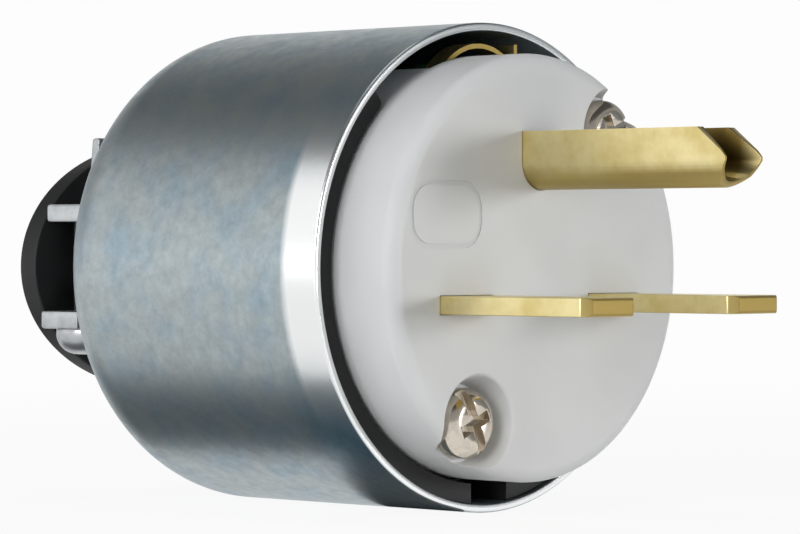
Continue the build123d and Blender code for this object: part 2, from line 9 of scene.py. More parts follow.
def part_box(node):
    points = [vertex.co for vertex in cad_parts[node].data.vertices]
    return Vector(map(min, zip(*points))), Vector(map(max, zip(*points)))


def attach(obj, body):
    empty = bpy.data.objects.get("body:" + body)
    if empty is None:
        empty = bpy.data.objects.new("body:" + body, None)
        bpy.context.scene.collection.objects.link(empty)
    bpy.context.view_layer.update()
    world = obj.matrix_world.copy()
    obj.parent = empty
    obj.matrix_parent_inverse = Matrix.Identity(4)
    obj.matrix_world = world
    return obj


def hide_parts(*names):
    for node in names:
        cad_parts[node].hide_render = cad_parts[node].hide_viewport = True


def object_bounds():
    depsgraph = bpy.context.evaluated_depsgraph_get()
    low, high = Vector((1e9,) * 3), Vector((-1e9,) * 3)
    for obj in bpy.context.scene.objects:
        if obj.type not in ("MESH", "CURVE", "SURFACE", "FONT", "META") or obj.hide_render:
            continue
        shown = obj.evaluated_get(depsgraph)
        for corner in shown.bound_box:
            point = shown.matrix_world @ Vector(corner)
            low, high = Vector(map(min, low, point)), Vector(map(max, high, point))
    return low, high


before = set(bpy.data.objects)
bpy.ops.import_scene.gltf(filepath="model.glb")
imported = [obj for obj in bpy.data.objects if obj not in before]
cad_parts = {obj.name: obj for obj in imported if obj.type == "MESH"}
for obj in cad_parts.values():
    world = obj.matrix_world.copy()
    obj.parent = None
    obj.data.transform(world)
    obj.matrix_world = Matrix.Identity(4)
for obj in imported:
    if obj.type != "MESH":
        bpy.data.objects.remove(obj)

bl_info = {
    "name": "Armored plug",
    "version": (1, 0, 0),
    "blender": (4, 5, 0),
    "location": "View3D > Sidebar > Plug",
    "description": "Builds a steel-armored plug with a nylon face, its finishes and its studio",
    "category": "Object",
}

MM = 0.001
# Points closer than this, in metres, are the same point
TOUCHING = 1e-6
CAD_BOX = [[float(value) for value in corner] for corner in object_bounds()]
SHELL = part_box("shell")
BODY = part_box("front_body")
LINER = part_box("insulating_liner")
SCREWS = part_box("face_screws")
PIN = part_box("ground_pin")
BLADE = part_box("line_blade_far")
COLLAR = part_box("cord_collar")
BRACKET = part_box("clamp_bracket")
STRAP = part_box("clamp_strap")
CLAMP_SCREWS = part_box("clamp_screws")
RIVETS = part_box("bracket_rivets")


def linear(code):
    """Turn an sRGB hex colour into Blender's linear red, green, blue and alpha."""
    parts = [int(code[i : i + 2], 16) / 255 for i in (0, 2, 4)]
    return [c / 12.92 if c <= 0.04045 else ((c + 0.055) / 1.055) ** 2.4 for c in parts] + [1.0]


def length(label, about, size):
    """A size of the plug that a user may change, given in millimetres."""
    return FloatProperty(name=label, description=about, default=size * MM, precision=5, unit="LENGTH")


def angle(label, about, degrees):
    """A direction round the plug's axis that a user may change."""
    return FloatProperty(name=label, description=about, default=radians(degrees), subtype="ANGLE")


def colour(label, about, code):
    """A colour of the plug that a user may change."""
    return FloatVectorProperty(
        name=label, description=about, default=linear(code), size=4, min=0, max=1, subtype="COLOR"
    )


class PlugSizes(bpy.types.PropertyGroup):
    """Sizes of the plug's pieces."""

    shell_wall: length("Shell wall", "Thickness of the drawn steel cup at its side", 0.7)
    shell_back: length("Shell back", "Thickness of the drawn steel cup at its back", 1.0)
    shell_shoulder: length("Shell shoulder", "Radius between the shell's side and back", 6.3)
    mouth_edge: length("Mouth edge", "Rounding of the shell's mouth on the outside", 0.25)
    mouth_inner_edge: length("Mouth inner edge", "Rounding of the shell's mouth on the inside", 0.12)
    burnish_width: length("Burnished band", "Width of the bright band behind the mouth", 3.8)
    burnish_fade: length("Burnish fade", "Width over which that band fades out", 0.8)
    cord_hole: length("Cord hole", "Radius of the hole in the shell's back", 6.2)
    body_radius: length("Body radius", "Outside of the nylon front body", 18.0)
    body_depth: length("Body depth", "Front body without its screw towers", 17.0)
    body_edge: length("Body edge", "Rounding of the mating face", 1.3)
    tower_radius: length("Tower radius", "Screw towers behind the body", 3.3)
    key_width: length("Key width", "Keys that steady the body in the shell", 1.6)
    key_inset: length("Key inset", "Keys behind the shell's mouth", 4.5)
    key_gap: length("Key gap", "Keys to the shell", 0.2)
    key_near: angle("Near key", "Direction of the near key", 127.3)
    key_far: angle("Far key", "Direction of the far key", 22.0)
    key_edge: length("Key edge", "Rounding of the keys", 0.2)
    pocket_depth: length("Pocket depth", "Depth of the screw pockets", 2.6)
    pocket_floor: length("Pocket floor", "Radius of the pockets at their floor", 3.25)
    pocket_flare: length("Pocket flare", "How much wider the pockets are at the face", 0.85)
    pocket_lip: length("Pocket lip", "Rounding of the pockets' edges", 0.3)
    screw_hole: length("Screw hole", "Radius of the holes through the towers", 1.95)
    slot_gap: length("Slot gap", "Room round the contacts in the face", 0.05)
    well_front: length("Well front", "Line terminal wells behind the face", 8.2)
    well_floor: length("Well floor", "Floor of those wells from the axis", 11.2)
    well_height: length("Well height", "Height of those wells", 9.2)
    ground_well_front: length("Ground well front", "Ground terminal well behind the face", 6.6)
    ground_well_floor: length("Ground well floor", "Floor of that well above the axis", 12.6)
    ground_well_width: length("Ground well width", "Width of that well", 13.2)
    mark_width: length("Mould mark width", "Outline of the mould insert", 8.5)
    mark_height: length("Mould mark height", "Outline of the mould insert", 5.6)
    mark_corner: length("Mould mark corner", "Corner radius of that outline", 2.3)
    mark_groove: length("Mould mark groove", "Width of that outline", 0.4)
    mark_depth: length("Mould mark depth", "Depth of that outline", 0.12)
    mark_y: length("Mould mark side", "Middle of the outline, across", -11.5)
    mark_z: length("Mould mark rise", "Middle of the outline, up", 4.45)
    liner_wall: length("Liner wall", "Fibre sheet and its burr", 1.65)
    liner_gap: length("Liner gap", "Liner to the shell", 0.1)
    liner_start: angle("Liner start", "Near end of the rolled liner", 132.1)
    liner_sweep: angle("Liner sweep", "How far the liner goes round", 245.0)
    liner_end: length("Liner end", "Rounding of the liner's two ends", 0.75)
    notch_width: length("Liner notch", "Notch at the liner's bottom", 4.4)
    notch_depth: length("Notch depth", "Depth of that notch", 5.0)
    notch_shift: length("Notch shift", "Notch beside the middle", 0.5)
    blade_width: length("Blade width", "Line blades across the flat", 6.35)
    blade_thickness: length("Blade thickness", "Line blades", 1.52)
    blade_inner: length("Blade inner edge", "Inner edge of the blades from the axis", 5.945)
    blade_corner: length("Blade corner", "Corners cut off the blade's tip", 0.75)
    blade_nose: length("Blade nose", "Bevel along the blade's tip", 0.3)
    blade_edge: length("Blade edge", "Rounding left by stamping", 0.1)
    terminal_front: length("Terminal front", "Line terminals behind the face", 8.5)
    terminal_wall: length("Terminal wall", "Thickness of the terminal plates", 1.0)
    terminal_hole: length("Terminal hole", "Radius of their screw holes", 1.8)
    tang_length: length("Tang length", "Blade that goes on inside the well", 1.4)
    pin_radius: length("Pin radius", "Half the folded pin's width", 2.375)
    pin_wall: length("Pin wall", "Brass sheet of the folded pin", 0.95)
    pin_flare: length("Pin flare", "How far back the inside of the tip is coined wider", 3.6)
    pin_thin: length("Pin thin edge", "Wall that the coining leaves at the tip", 0.2)
    head_radius: length("Head radius", "Heads of the assembly screws", 2.95)
    head_height: length("Head height", "Heads of the assembly screws", 2.2)
    head_crown: length("Head crown", "Rounding of those heads", 1.3)
    shank_radius: length("Shank radius", "Shanks of the assembly screws", 1.7)
    slot_width: length("Slot width", "Driver slots of the assembly screws", 0.95)
    slot_depth: length("Slot depth", "Driver slots of the assembly screws", 1.0)
    cross_length: length("Cross length", "Short arm of the driver cross", 3.4)
    near_slot: angle("Near slot", "Direction of the lower screw's slot", 114.0)
    far_slot: angle("Far slot", "Direction of the upper screw's slot", 25.0)
    flange_wall: length("Flange wall", "Oval flange of the collar", 2.1)
    flange_edge: length("Flange edge", "Rounding of that flange", 0.2)
    neck_radius: length("Neck radius", "Collar in the clamp", 5.9)
    bore_radius: length("Bore radius", "Bore for the cord", 4.6)
    lip_radius: length("Lip radius", "Collar inside the shell", 8.5)
    lip_wall: length("Lip wall", "Collar inside the shell", 2.0)
    bar_wall: length("Bar wall", "Clamp bars", 1.6)
    bar_gap: length("Bar gap", "Between the two bars", 7.9)
    arch_gap: length("Arch gap", "Clamp bars to the collar", 0.1)
    ear_wall: length("Ear wall", "Ears of the bracket", 1.0)
    ear_inner: length("Ear inner edge", "Inner edge of the ears from the axis", 6.89)
    ear_taper: length("Ear taper", "Slope of the ear's outer edge", 0.6)
    clamp_head_radius: length("Clamp head radius", "Heads of the clamp screws", 3.1)
    clamp_head_height: length("Clamp head height", "Heads of the clamp screws", 2.3)
    clamp_head_crown: length("Clamp head crown", "Rounding of those heads", 1.9)
    clamp_shank: length("Clamp shank", "Radius of the clamp screws", 1.5)
    clamp_hole: length("Clamp hole", "Radius of the holes in the bars", 1.7)
    clamp_slot: length("Clamp slot", "Driver slots of the clamp screws", 0.9)
    rivet_head: length("Rivet head", "Radius of the rivets' heads", 1.9)
    rivet_height: length("Rivet height", "Height of the rivets' heads", 1.1)
    rivet_crown: length("Rivet crown", "Rounding of the rivets' heads", 0.6)
    rivet_shank: length("Rivet shank", "Radius of the rivets", 1.5)
    stamped_edge: length("Stamped edge", "Rounding of stamped steel edges", 0.25)
    slot_edge: length("Slot edge", "Rounding of the driver slots", 0.06)


class PlugColours(bpy.types.PropertyGroup):
    """Colours of the plug's finishes."""

    zinc: colour("Zinc", "Clear zinc plate of the shell", "adb6b8")
    zinc_blue: colour("Blue zinc", "Bluish clouds in the plate", "9caeb8")
    zinc_stain: colour("Stained zinc", "Blue stain of the passivation by the mouth", "4f8299")
    # Paler colour of the burnished band, painted only where the shell faces sideways: partly a painted
    # highlight
    zinc_burnish_highlight: colour("Bright zinc", "Burnished band behind the shell's mouth", "eef0f0")
    nylon: colour("Nylon", "Moulded front body", "d3d5d6")
    nylon_shade: colour("Nylon shade", "Thicker parts of the moulding", "cccecf")
    brass: colour("Brass", "Contacts and strap", "e6d8a2")
    brass_dull: colour("Dull brass", "Handled and oxidised brass", "d4c284")
    # Painted shade: the brass's downward-facing faces are painted this darker olive
    brass_underside_shade: colour("Brass underside", "Undersides that no cloth has rubbed", "b09b5a")
    brass_inside: colour("Brass inside", "Oxidised inside of the folded pin", "7d6a38")
    brass_cut: colour("Cut brass", "Sheared ends of the contacts", "a08c52")
    fibre: colour("Fibre", "Insulating liner and barrier", "0f0f11")
    rubber: colour("Rubber", "Cord collar", "0d0f11")
    strip: colour("Strip steel", "Clamp bars, screws and rivets", "b7babc")
    nickel: colour("Nickel", "Assembly screws", "d6cdbf")
    green: colour("Green", "Grounding screw", "3f7d4a")
    paper: colour("Paper", "Studio floor", "f6f6f6")
    backdrop: colour("Backdrop", "White that the floor fades into", "fdfdfd")
    card: colour("Card", "Grey cards that the metal reflects", "93989b")


def sizes():
    """The plug's sizes."""
    return bpy.context.scene.plug_sizes


def colours():
    """The plug's colours."""
    return bpy.context.scene.plug_colours


def add_node(tree, kind, sockets=None, output=None, stops=(), **settings):
    """Add a node with its settings and links, and give the output that the next node reads."""
    node = tree.nodes.new(kind)
    for key, value in settings.items():
        setattr(node, key, value)
    for at, (place, value) in enumerate(stops):
        points = node.color_ramp.elements
        point = points[at] if at < 2 else points.new(1.0)
        point.position, point.color = place, value
    for key, value in (sockets or {}).items():
        socket = node.inputs[key]
        if isinstance(key, str):
            socket = next(entry for entry in node.inputs if entry.enabled and entry.name == key)
        if isinstance(value, bpy.types.NodeSocket):
            tree.links.new(value, socket)
        else:
            socket.default_value = value
    shown = [entry for entry in node.outputs if entry.enabled]
    return node.outputs[output] if output else (shown or [None])[0]


def new_material(name):
    """An empty node material."""
    material = bpy.data.materials.new(name)
    material.use_nodes = True
    material.node_tree.nodes.clear()
    return material, material.node_tree


def per_mm(spacing):
    """Noise scale, in Blender's metres, of a pattern with this spacing in millimetres."""
    return 1.0 / (spacing * MM)


def grey(level):
    """A neutral colour of this linear level."""
    return (level, level, level, 1.0)


# Clear zinc plate, electroplated on drawn steel: cool grey with a fine crystalline
# mottle and soft reflections, bluish clouds and a stain from the passivation, and a
# band behind the mouth that the drawing die has burnished smoother. Its paler colour
# is painted only where the shell faces sideways, so it is partly a painted highlight.
# The crystals are drawn about a millimetre wide, coarser than real, so that they show.
def clear_zinc_plate(name):
    material, tree = new_material(name)
    place = add_node(tree, "ShaderNodeTexCoord", output="Object")
    along = add_node(tree, "ShaderNodeSeparateXYZ", {"Vector": place}, output="X")
    mottle = add_node(
        tree, "ShaderNodeTexNoise", {"Vector": place, "Scale": per_mm(1.1), "Detail": 5.0, "Roughness": 0.7}
    )
    clouds = add_node(tree, "ShaderNodeTexNoise", {"Vector": place, "Scale": per_mm(3.5), "Detail": 4.0})
    edge = SHELL[1][0] - sizes().burnish_width
    burnish = add_node(
        tree,
        "ShaderNodeMapRange",
        {
            "Value": along,
            "From Min": edge - sizes().burnish_fade / 2,
            "From Max": edge + sizes().burnish_fade / 2,
        },
    )
    # Painted highlight: the band's pale colour fades out as the shell turns towards its top and its bottom
    facing = add_node(tree, "ShaderNodeTexCoord", output="Normal")
    upward = add_node(tree, "ShaderNodeSeparateXYZ", {"Vector": facing}, output="Z")
    steep = add_node(tree, "ShaderNodeMath", {0: upward}, operation="ABSOLUTE")
    rubbed = add_node(
        tree,
        "ShaderNodeMapRange",
        {"Value": steep, "From Min": 0.26, "From Max": 0.70, "To Min": 1.0, "To Max": 0.0},
        interpolation_type="SMOOTHSTEP",
    )
    bright = add_node(tree, "ShaderNodeMath", {0: burnish, 1: rubbed}, operation="MULTIPLY")
    # Middle of the stain, low on the near side and just behind the mouth
    spot = Vector((SHELL[1][0] - 2 * MM, SHELL[0][1] * 0.74, SHELL[0][2] * 0.66))
    away = add_node(tree, "ShaderNodeVectorMath", {0: place, 1: spot}, output="Value", operation="DISTANCE")
    wavy = add_node(tree, "ShaderNodeMath", {0: clouds, 1: 6 * MM, 2: away}, operation="MULTIPLY_ADD")
    stain = add_node(
        tree,
        "ShaderNodeMapRange",
        {"Value": wavy, "From Min": 3 * MM, "From Max": 10 * MM, "To Min": 0.75, "To Max": 0.0},
        interpolation_type="SMOOTHSTEP",
    )
    cloudy = add_node(
        tree,
        "ShaderNodeValToRGB",
        {"Fac": clouds},
        stops=[(0.42, colours().zinc), (0.70, colours().zinc_blue)],
    )
    stained = add_node(
        tree, "ShaderNodeMix", {"Factor": stain, "A": cloudy, "B": colours().zinc_stain}, data_type="RGBA"
    )
    grain = add_node(
        tree, "ShaderNodeValToRGB", {"Fac": mottle}, stops=[(0.34, grey(0.82)), (0.66, grey(1.0))]
    )
    plate = add_node(
        tree,
        "ShaderNodeMix",
        {"Factor": 1.0, "A": stained, "B": grain},
        data_type="RGBA",
        blend_type="MULTIPLY",
    )
    # The burnished band's paler colour, partly a painted highlight
    base = add_node(
        tree, "ShaderNodeMix", {"Factor": bright, "A": plate, "B": colours().zinc_burnish_highlight}, data_type="RGBA"
    )
    dull = add_node(
        tree,
        "ShaderNodeMapRange",
        {"Value": mottle, "From Min": 0.3, "From Max": 0.7, "To Min": 0.46, "To Max": 0.38},
    )
    rough = add_node(tree, "ShaderNodeMix", {"Factor": bright, "A": dull, "B": 0.2})
    bump = add_node(tree, "ShaderNodeBump", {"Height": mottle, "Strength": 0.06, "Distance": 0.02 * MM})
    shader = add_node(
        tree,
        "ShaderNodeBsdfPrincipled",
        {"Base Color": base, "Metallic": 1.0, "Roughness": rough, "Normal": bump},
    )
    add_node(tree, "ShaderNodeOutputMaterial", {"Surface": shader})
    return material


# Natural nylon, injection moulded: off-white, a little light goes in, low gloss
# from the polished mould, faint clouds where the wall is thicker. The texture of its
# skin is drawn at half a millimetre, coarser than real, so that it shows.
def moulded_nylon(name):
    material, tree = new_material(name)
    place = add_node(tree, "ShaderNodeTexCoord", output="Object")
    clouds = add_node(tree, "ShaderNodeTexNoise", {"Vector": place, "Scale": per_mm(12), "Detail": 2.0})
    skin = add_node(tree, "ShaderNodeTexNoise", {"Vector": place, "Scale": per_mm(0.5), "Detail": 3.0})
    base = add_node(
        tree,
        "ShaderNodeValToRGB",
        {"Fac": clouds},
        stops=[(0.35, colours().nylon_shade), (0.60, colours().nylon)],
    )
    rough = add_node(
        tree,
        "ShaderNodeMapRange",
        {"Value": skin, "From Min": 0.3, "From Max": 0.7, "To Min": 0.50, "To Max": 0.58},
    )
    bump = add_node(tree, "ShaderNodeBump", {"Height": skin, "Strength": 0.04, "Distance": 0.02 * MM})
    shader = add_node(
        tree,
        "ShaderNodeBsdfPrincipled",
        {
            "Base Color": base,
            "Roughness": rough,
            "IOR": 1.53,
            "Subsurface Weight": 0.15,
            "Subsurface Radius": (1.0, 1.0, 1.0),
            "Subsurface Scale": 0.6 * MM,
            "Normal": bump,
        },
    )
    add_node(tree, "ShaderNodeOutputMaterial", {"Surface": shader})
    return material


# Cartridge brass, stamped from rolled strip: pale gold where it is rubbed bright,
# olive on the rough sheared ends, brown inside the fold, with soft clouds of tarnish
# and rolling lines along it, drawn coarser than real so that they show. The undersides
# are painted olive as well, a painted shade.
def stamped_brass(name):
    material, tree = new_material(name)
    place = add_node(tree, "ShaderNodeTexCoord", output="Object")
    facing = add_node(tree, "ShaderNodeTexCoord", output="Normal")
    upward = add_node(tree, "ShaderNodeSeparateXYZ", {"Vector": facing}, output="Z")
    along = add_node(tree, "ShaderNodeMapping", {"Vector": place, "Scale": (0.05, 1.0, 1.0)})
    lines = add_node(tree, "ShaderNodeTexNoise", {"Vector": along, "Scale": per_mm(0.35), "Detail": 4.0})
    tarnish = add_node(
        tree, "ShaderNodeTexNoise", {"Vector": place, "Scale": per_mm(4), "Detail": 4.0, "Roughness": 0.6}
    )
    rubbed = add_node(
        tree,
        "ShaderNodeValToRGB",
        {"Fac": tarnish},
        stops=[(0.34, colours().brass_dull), (0.58, colours().brass)],
    )
    # Painted shade: faces that point downwards are painted darker
    under = add_node(tree, "ShaderNodeMapRange", {"Value": upward, "From Min": -0.15, "From Max": -0.75})
    forward = add_node(tree, "ShaderNodeSeparateXYZ", {"Vector": facing}, output="X")
    cut = add_node(tree, "ShaderNodeMapRange", {"Value": forward, "From Min": 0.45, "From Max": 0.75})
    dark = add_node(
        tree, "ShaderNodeMix", {"Factor": under, "A": rubbed, "B": colours().brass_underside_shade}, data_type="RGBA"
    )
    sheared = add_node(
        tree, "ShaderNodeMix", {"Factor": cut, "A": dark, "B": colours().brass_cut}, data_type="RGBA"
    )
    middle = Vector((0, 0, PIN[0][2] + sizes().pin_radius))
    offset = add_node(tree, "ShaderNodeVectorMath", {0: place, 1: middle}, operation="SUBTRACT")
    out = add_node(tree, "ShaderNodeSeparateXYZ", {"Vector": offset}, output="X")
    across = add_node(tree, "ShaderNodeSeparateXYZ", {"Vector": offset}, output="Y")
    rise = add_node(tree, "ShaderNodeSeparateXYZ", {"Vector": offset}, output="Z")
    drop = add_node(tree, "ShaderNodeMath", {0: rise, 1: 0.0}, operation="MINIMUM")
    fold = add_node(tree, "ShaderNodeCombineXYZ", {"Y": across, "Z": drop})
    wall = add_node(tree, "ShaderNodeVectorMath", {0: fold}, output="Value", operation="LENGTH")
    radius = sizes().pin_radius
    within = add_node(
        tree,
        "ShaderNodeMapRange",
        {"Value": wall, "From Min": radius - 0.15 * MM, "From Max": radius - 0.6 * MM},
    )
    beyond = add_node(tree, "ShaderNodeMapRange", {"Value": out, "From Min": 0.0, "From Max": 0.5 * MM})
    inside = add_node(tree, "ShaderNodeMath", {0: within, 1: beyond}, operation="MULTIPLY")
    base = add_node(
        tree,
        "ShaderNodeMix",
        {"Factor": inside, "A": sheared, "B": colours().brass_inside},
        data_type="RGBA",
    )
    worn = add_node(
        tree,
        "ShaderNodeMapRange",
        {"Value": tarnish, "From Min": 0.3, "From Max": 0.7, "To Min": 0.46, "To Max": 0.36},
    )
    rough = add_node(tree, "ShaderNodeMix", {"Factor": cut, "A": worn, "B": 0.6})
    bump = add_node(tree, "ShaderNodeBump", {"Height": lines, "Strength": 0.10, "Distance": 0.02 * MM})
    shader = add_node(
        tree,
        "ShaderNodeBsdfPrincipled",
        {"Base Color": base, "Metallic": 1.0, "Roughness": rough, "Normal": bump},
    )
    add_node(tree, "ShaderNodeOutputMaterial", {"Surface": shader})
    return material


# Vulcanised fibre, cut from sheet: near black, dry and slightly fuzzy. The fuzz is
# drawn at a third of a millimetre, coarser than real, so that it shows.
def vulcanised_fibre(name):
    material, tree = new_material(name)
    place = add_node(tree, "ShaderNodeTexCoord", output="Object")
    fuzz = add_node(tree, "ShaderNodeTexNoise", {"Vector": place, "Scale": per_mm(0.3), "Detail": 4.0})
    base = add_node(
        tree, "ShaderNodeValToRGB", {"Fac": fuzz}, stops=[(0.3, linear("070708")), (0.7, colours().fibre)]
    )
    bump = add_node(tree, "ShaderNodeBump", {"Height": fuzz, "Strength": 0.2, "Distance": 0.03 * MM})
    shader = add_node(
        tree,
        "ShaderNodeBsdfPrincipled",
        {"Base Color": base, "Roughness": 0.66, "IOR": 1.5, "Normal": bump},
    )
    add_node(tree, "ShaderNodeOutputMaterial", {"Surface": shader})
    return material


# Rubber, compression moulded: black with a soft sheen and a faint bloom.
def moulded_rubber(name):
    material, tree = new_material(name)
    place = add_node(tree, "ShaderNodeTexCoord", output="Object")
    bloom = add_node(tree, "ShaderNodeTexNoise", {"Vector": place, "Scale": per_mm(3), "Detail": 4.0})
    base = add_node(
        tree,
        "ShaderNodeValToRGB",
        {"Fac": bloom},
        stops=[(0.35, linear("060708")), (0.7, colours().rubber)],
    )
    rough = add_node(
        tree,
        "ShaderNodeMapRange",
        {"Value": bloom, "From Min": 0.3, "From Max": 0.7, "To Min": 0.58, "To Max": 0.68},
    )
    shader = add_node(
        tree, "ShaderNodeBsdfPrincipled", {"Base Color": base, "Roughness": rough, "IOR": 1.52}
    )
    add_node(tree, "ShaderNodeOutputMaterial", {"Surface": shader})
    return material


# Electroplated steel of the stamped and headed small parts: brighter than the shell, with
# light wear in clouds a millimetre or two across that dull its colour and its gloss.
def plated_steel(name, tint, polish, wear_level):
    material, tree = new_material(name)
    place = add_node(tree, "ShaderNodeTexCoord", output="Object")
    wear = add_node(
        tree, "ShaderNodeTexNoise", {"Vector": place, "Scale": per_mm(1.6), "Detail": 5.0, "Roughness": 0.6}
    )
    worn = [wear_level * part for part in tint[:3]] + [1.0]
    base = add_node(tree, "ShaderNodeValToRGB", {"Fac": wear}, stops=[(0.32, worn), (0.58, tint)])
    rough = add_node(
        tree,
        "ShaderNodeMapRange",
        {"Value": wear, "From Min": 0.3, "From Max": 0.7, "To Min": polish + 0.12, "To Max": polish},
    )
    bump = add_node(tree, "ShaderNodeBump", {"Height": wear, "Strength": 0.06, "Distance": 0.02 * MM})
    shader = add_node(
        tree,
        "ShaderNodeBsdfPrincipled",
        {"Base Color": base, "Metallic": 1.0, "Roughness": rough, "Normal": bump},
    )
    add_node(tree, "ShaderNodeOutputMaterial", {"Surface": shader})
    return material


FINISHES = {
    "shell_zinc": ("Clear zinc plate on drawn steel", clear_zinc_plate),
    "nylon_white": ("Moulded natural nylon", moulded_nylon),
    "brass": ("Stamped cartridge brass", stamped_brass),
    "fibre_black": ("Black vulcanised fibre", vulcanised_fibre),
    "collar_rubber": ("Black moulded rubber", moulded_rubber),
    "clamp_steel": ("Bright zinc plate", lambda name: plated_steel(name, colours().strip, 0.28, 0.8)),
    "screw_nickel": ("Nickel plate", lambda name: plated_steel(name, colours().nickel, 0.10, 0.75)),
    "green_screw": ("Green dyed zinc plate", lambda name: plated_steel(name, colours().green, 0.30, 0.7)),
}


def finish(slot):
    """The finish of this material slot, made once."""
    name, make = FINISHES[slot]
    return bpy.data.materials.get(name) or make(name)


def rim(bm, x, radius, at=(0.0, 0.0)):
    """Edges of the ring at this place along the axis and this far from it."""
    return [
        edge
        for edge in bm.edges
        if all(
            abs(v.co.x - x) < TOUCHING
            and abs(hypot(v.co.y - at[0], v.co.z - at[1]) - radius) < TOUCHING
            for v in edge.verts
        )
    ]


def rounded(bm, edges, width, segments):
    """Round these edges."""
    bmesh.ops.bevel(
        bm,
        geom=edges,
        offset=width,
        offset_type="OFFSET",
        affect="EDGES",
        segments=segments,
        profile=0.5,
        material=-1,
        clamp_overlap=False,
    )


def sharp_edges(bm, degrees=30.0):
    """Edges where two faces meet at more than this angle."""
    return [e for e in bm.edges if len(e.link_faces) == 2 and e.calc_face_angle(0.0) > radians(degrees)]


def turned(bm, points, at=(0.0, 0.0), steps=96, closed=False):
    """Spin a profile of (x, radius) points about an axis along X."""
    verts = [bm.verts.new((x, at[0], at[1] + radius)) for x, radius in points]
    pairs = list(zip(verts, verts[1:])) + ([(verts[-1], verts[0])] if closed else [])
    edges = [bm.edges.new(pair) for pair in pairs]
    bmesh.ops.spin(
        bm,
        geom=verts + edges,
        cent=(0, at[0], at[1]),
        axis=(1, 0, 0),
        angle=2 * pi,
        steps=steps,
        use_merge=True,
    )
    bmesh.ops.remove_doubles(bm, verts=bm.verts, dist=TOUCHING / 10)


def block(bm, low, high, turn=0.0):
    """A box between two corners, turned about the plug's axis."""
    low, high = Vector(low), Vector(high)
    made = bmesh.ops.create_cube(bm, size=1.0)["verts"]
    bmesh.ops.scale(bm, vec=high - low, verts=made)
    bmesh.ops.translate(bm, vec=(low + high) / 2, verts=made)
    bmesh.ops.rotate(bm, cent=(0, 0, 0), matrix=Matrix.Rotation(turn, 3, "X"), verts=made)
    return made


def rod(bm, start, end, at, radius, segments=64):
    """A round bar along X."""
    matrix = Matrix.Translation(((start + end) / 2, at[0], at[1])) @ Matrix.Rotation(pi / 2, 4, "Y")
    return bmesh.ops.create_cone(
        bm,
        cap_ends=True,
        segments=segments,
        radius1=radius,
        radius2=radius,
        depth=abs(end - start),
        matrix=matrix,
    )["verts"]


def sliced(bm, place, facing):
    """Cut off what lies in front of a plane, and give the faces that close the cut."""
    cut = bmesh.ops.bisect_plane(
        bm,
        geom=bm.verts[:] + bm.edges[:] + bm.faces[:],
        dist=TOUCHING / 10,
        plane_co=place,
        plane_no=facing,
        clear_outer=True,
    )["geom_cut"]
    edges = [part for part in cut if isinstance(part, bmesh.types.BMEdge) and part.is_boundary]
    return bmesh.ops.holes_fill(bm, edges=edges)["faces"]


def to_mesh(bm, name):
    """Close a bmesh into a mesh whose faces point outwards."""
    bmesh.ops.recalc_face_normals(bm, faces=bm.faces)
    mesh = bpy.data.meshes.new(name)
    bm.to_mesh(mesh)
    bm.free()
    return mesh


def carved(mesh, tool, operation):
    """One mesh with another added to it or cut from it."""
    objects = [bpy.data.objects.new(data.name, data) for data in (mesh, tool)]
    for obj in objects:
        bpy.context.scene.collection.objects.link(obj)
    cut = objects[0].modifiers.new("Cut", "BOOLEAN")
    cut.object = objects[1]
    cut.operation = operation
    cut.solver = "EXACT"
    cut.use_self = True
    bpy.context.view_layer.update()
    result = bpy.data.meshes.new_from_object(
        objects[0].evaluated_get(bpy.context.evaluated_depsgraph_get())
    )
    for obj in objects:
        bpy.data.objects.remove(obj)
    if not result.polygons:
        raise RuntimeError(f"{mesh.name}: the cut left nothing")
    bm = bmesh.new()
    bm.from_mesh(result)
    bmesh.ops.remove_doubles(bm, verts=bm.verts, dist=TOUCHING)
    bmesh.ops.dissolve_degenerate(bm, edges=bm.edges, dist=TOUCHING)
    return to_mesh(bm, mesh.name)


def eased(mesh, width, segments=2):
    """A mesh with its sharp edges eased."""
    bm = bmesh.new()
    bm.from_mesh(mesh)
    bmesh.ops.remove_doubles(bm, verts=bm.verts, dist=TOUCHING)
    bmesh.ops.dissolve_limit(bm, angle_limit=radians(0.5), verts=bm.verts, edges=bm.edges)
    rounded(bm, sharp_edges(bm), width, segments)
    return to_mesh(bm, mesh.name)


def add_piece(name, mesh, slot, nodes):
    """Put a finished mesh into the scene as a piece of the plug."""
    mesh.name = name
    mesh.materials.clear()
    mesh.materials.append(finish(slot))
    mesh.shade_smooth()
    mesh.set_sharp_from_angle(angle=radians(35.0))
    piece = bpy.data.objects.new(name, mesh)
    bpy.context.scene.collection.objects.link(piece)
    weighted = piece.modifiers.new("Even shading", "WEIGHTED_NORMAL")
    weighted.keep_sharp = True
    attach(piece, "root")
    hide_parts(*nodes)
    return piece


class PLUG_OT_shell(bpy.types.Operator):
    """Spin the steel cup and round its shoulder and mouth."""

    bl_idname = "plug.shell"
    bl_label = "Shell"

    def execute(self, context):
        s = sizes()
        back, mouth, outer = SHELL[0][0], SHELL[1][0], SHELL[1][2]
        inner, inside = outer - s.shell_wall, back + s.shell_back
        section = [
            (back, s.cord_hole),
            (back, outer),
            (mouth, outer),
            (mouth, inner),
            (inside, inner),
            (inside, s.cord_hole),
        ]
        bm = bmesh.new()
        turned(bm, section, steps=256, closed=True)
        rounded(bm, rim(bm, back, outer), s.shell_shoulder, 18)
        rounded(bm, rim(bm, inside, inner), s.shell_shoulder - s.shell_back, 12)
        rounded(bm, rim(bm, mouth, outer), s.mouth_edge, 6)
        rounded(bm, rim(bm, mouth, inner), s.mouth_inner_edge, 3)
        add_piece("steel_shell", to_mesh(bm, "shell"), "shell_zinc", ["shell"])
        return {"FINISHED"}


def screw_places():
    """Middles of the two assembly screws, across and up."""
    radius = sizes().head_radius
    return [
        (SCREWS[0][1] + radius, SCREWS[0][2] + radius),
        (SCREWS[1][1] - radius, SCREWS[1][2] - radius),
    ]


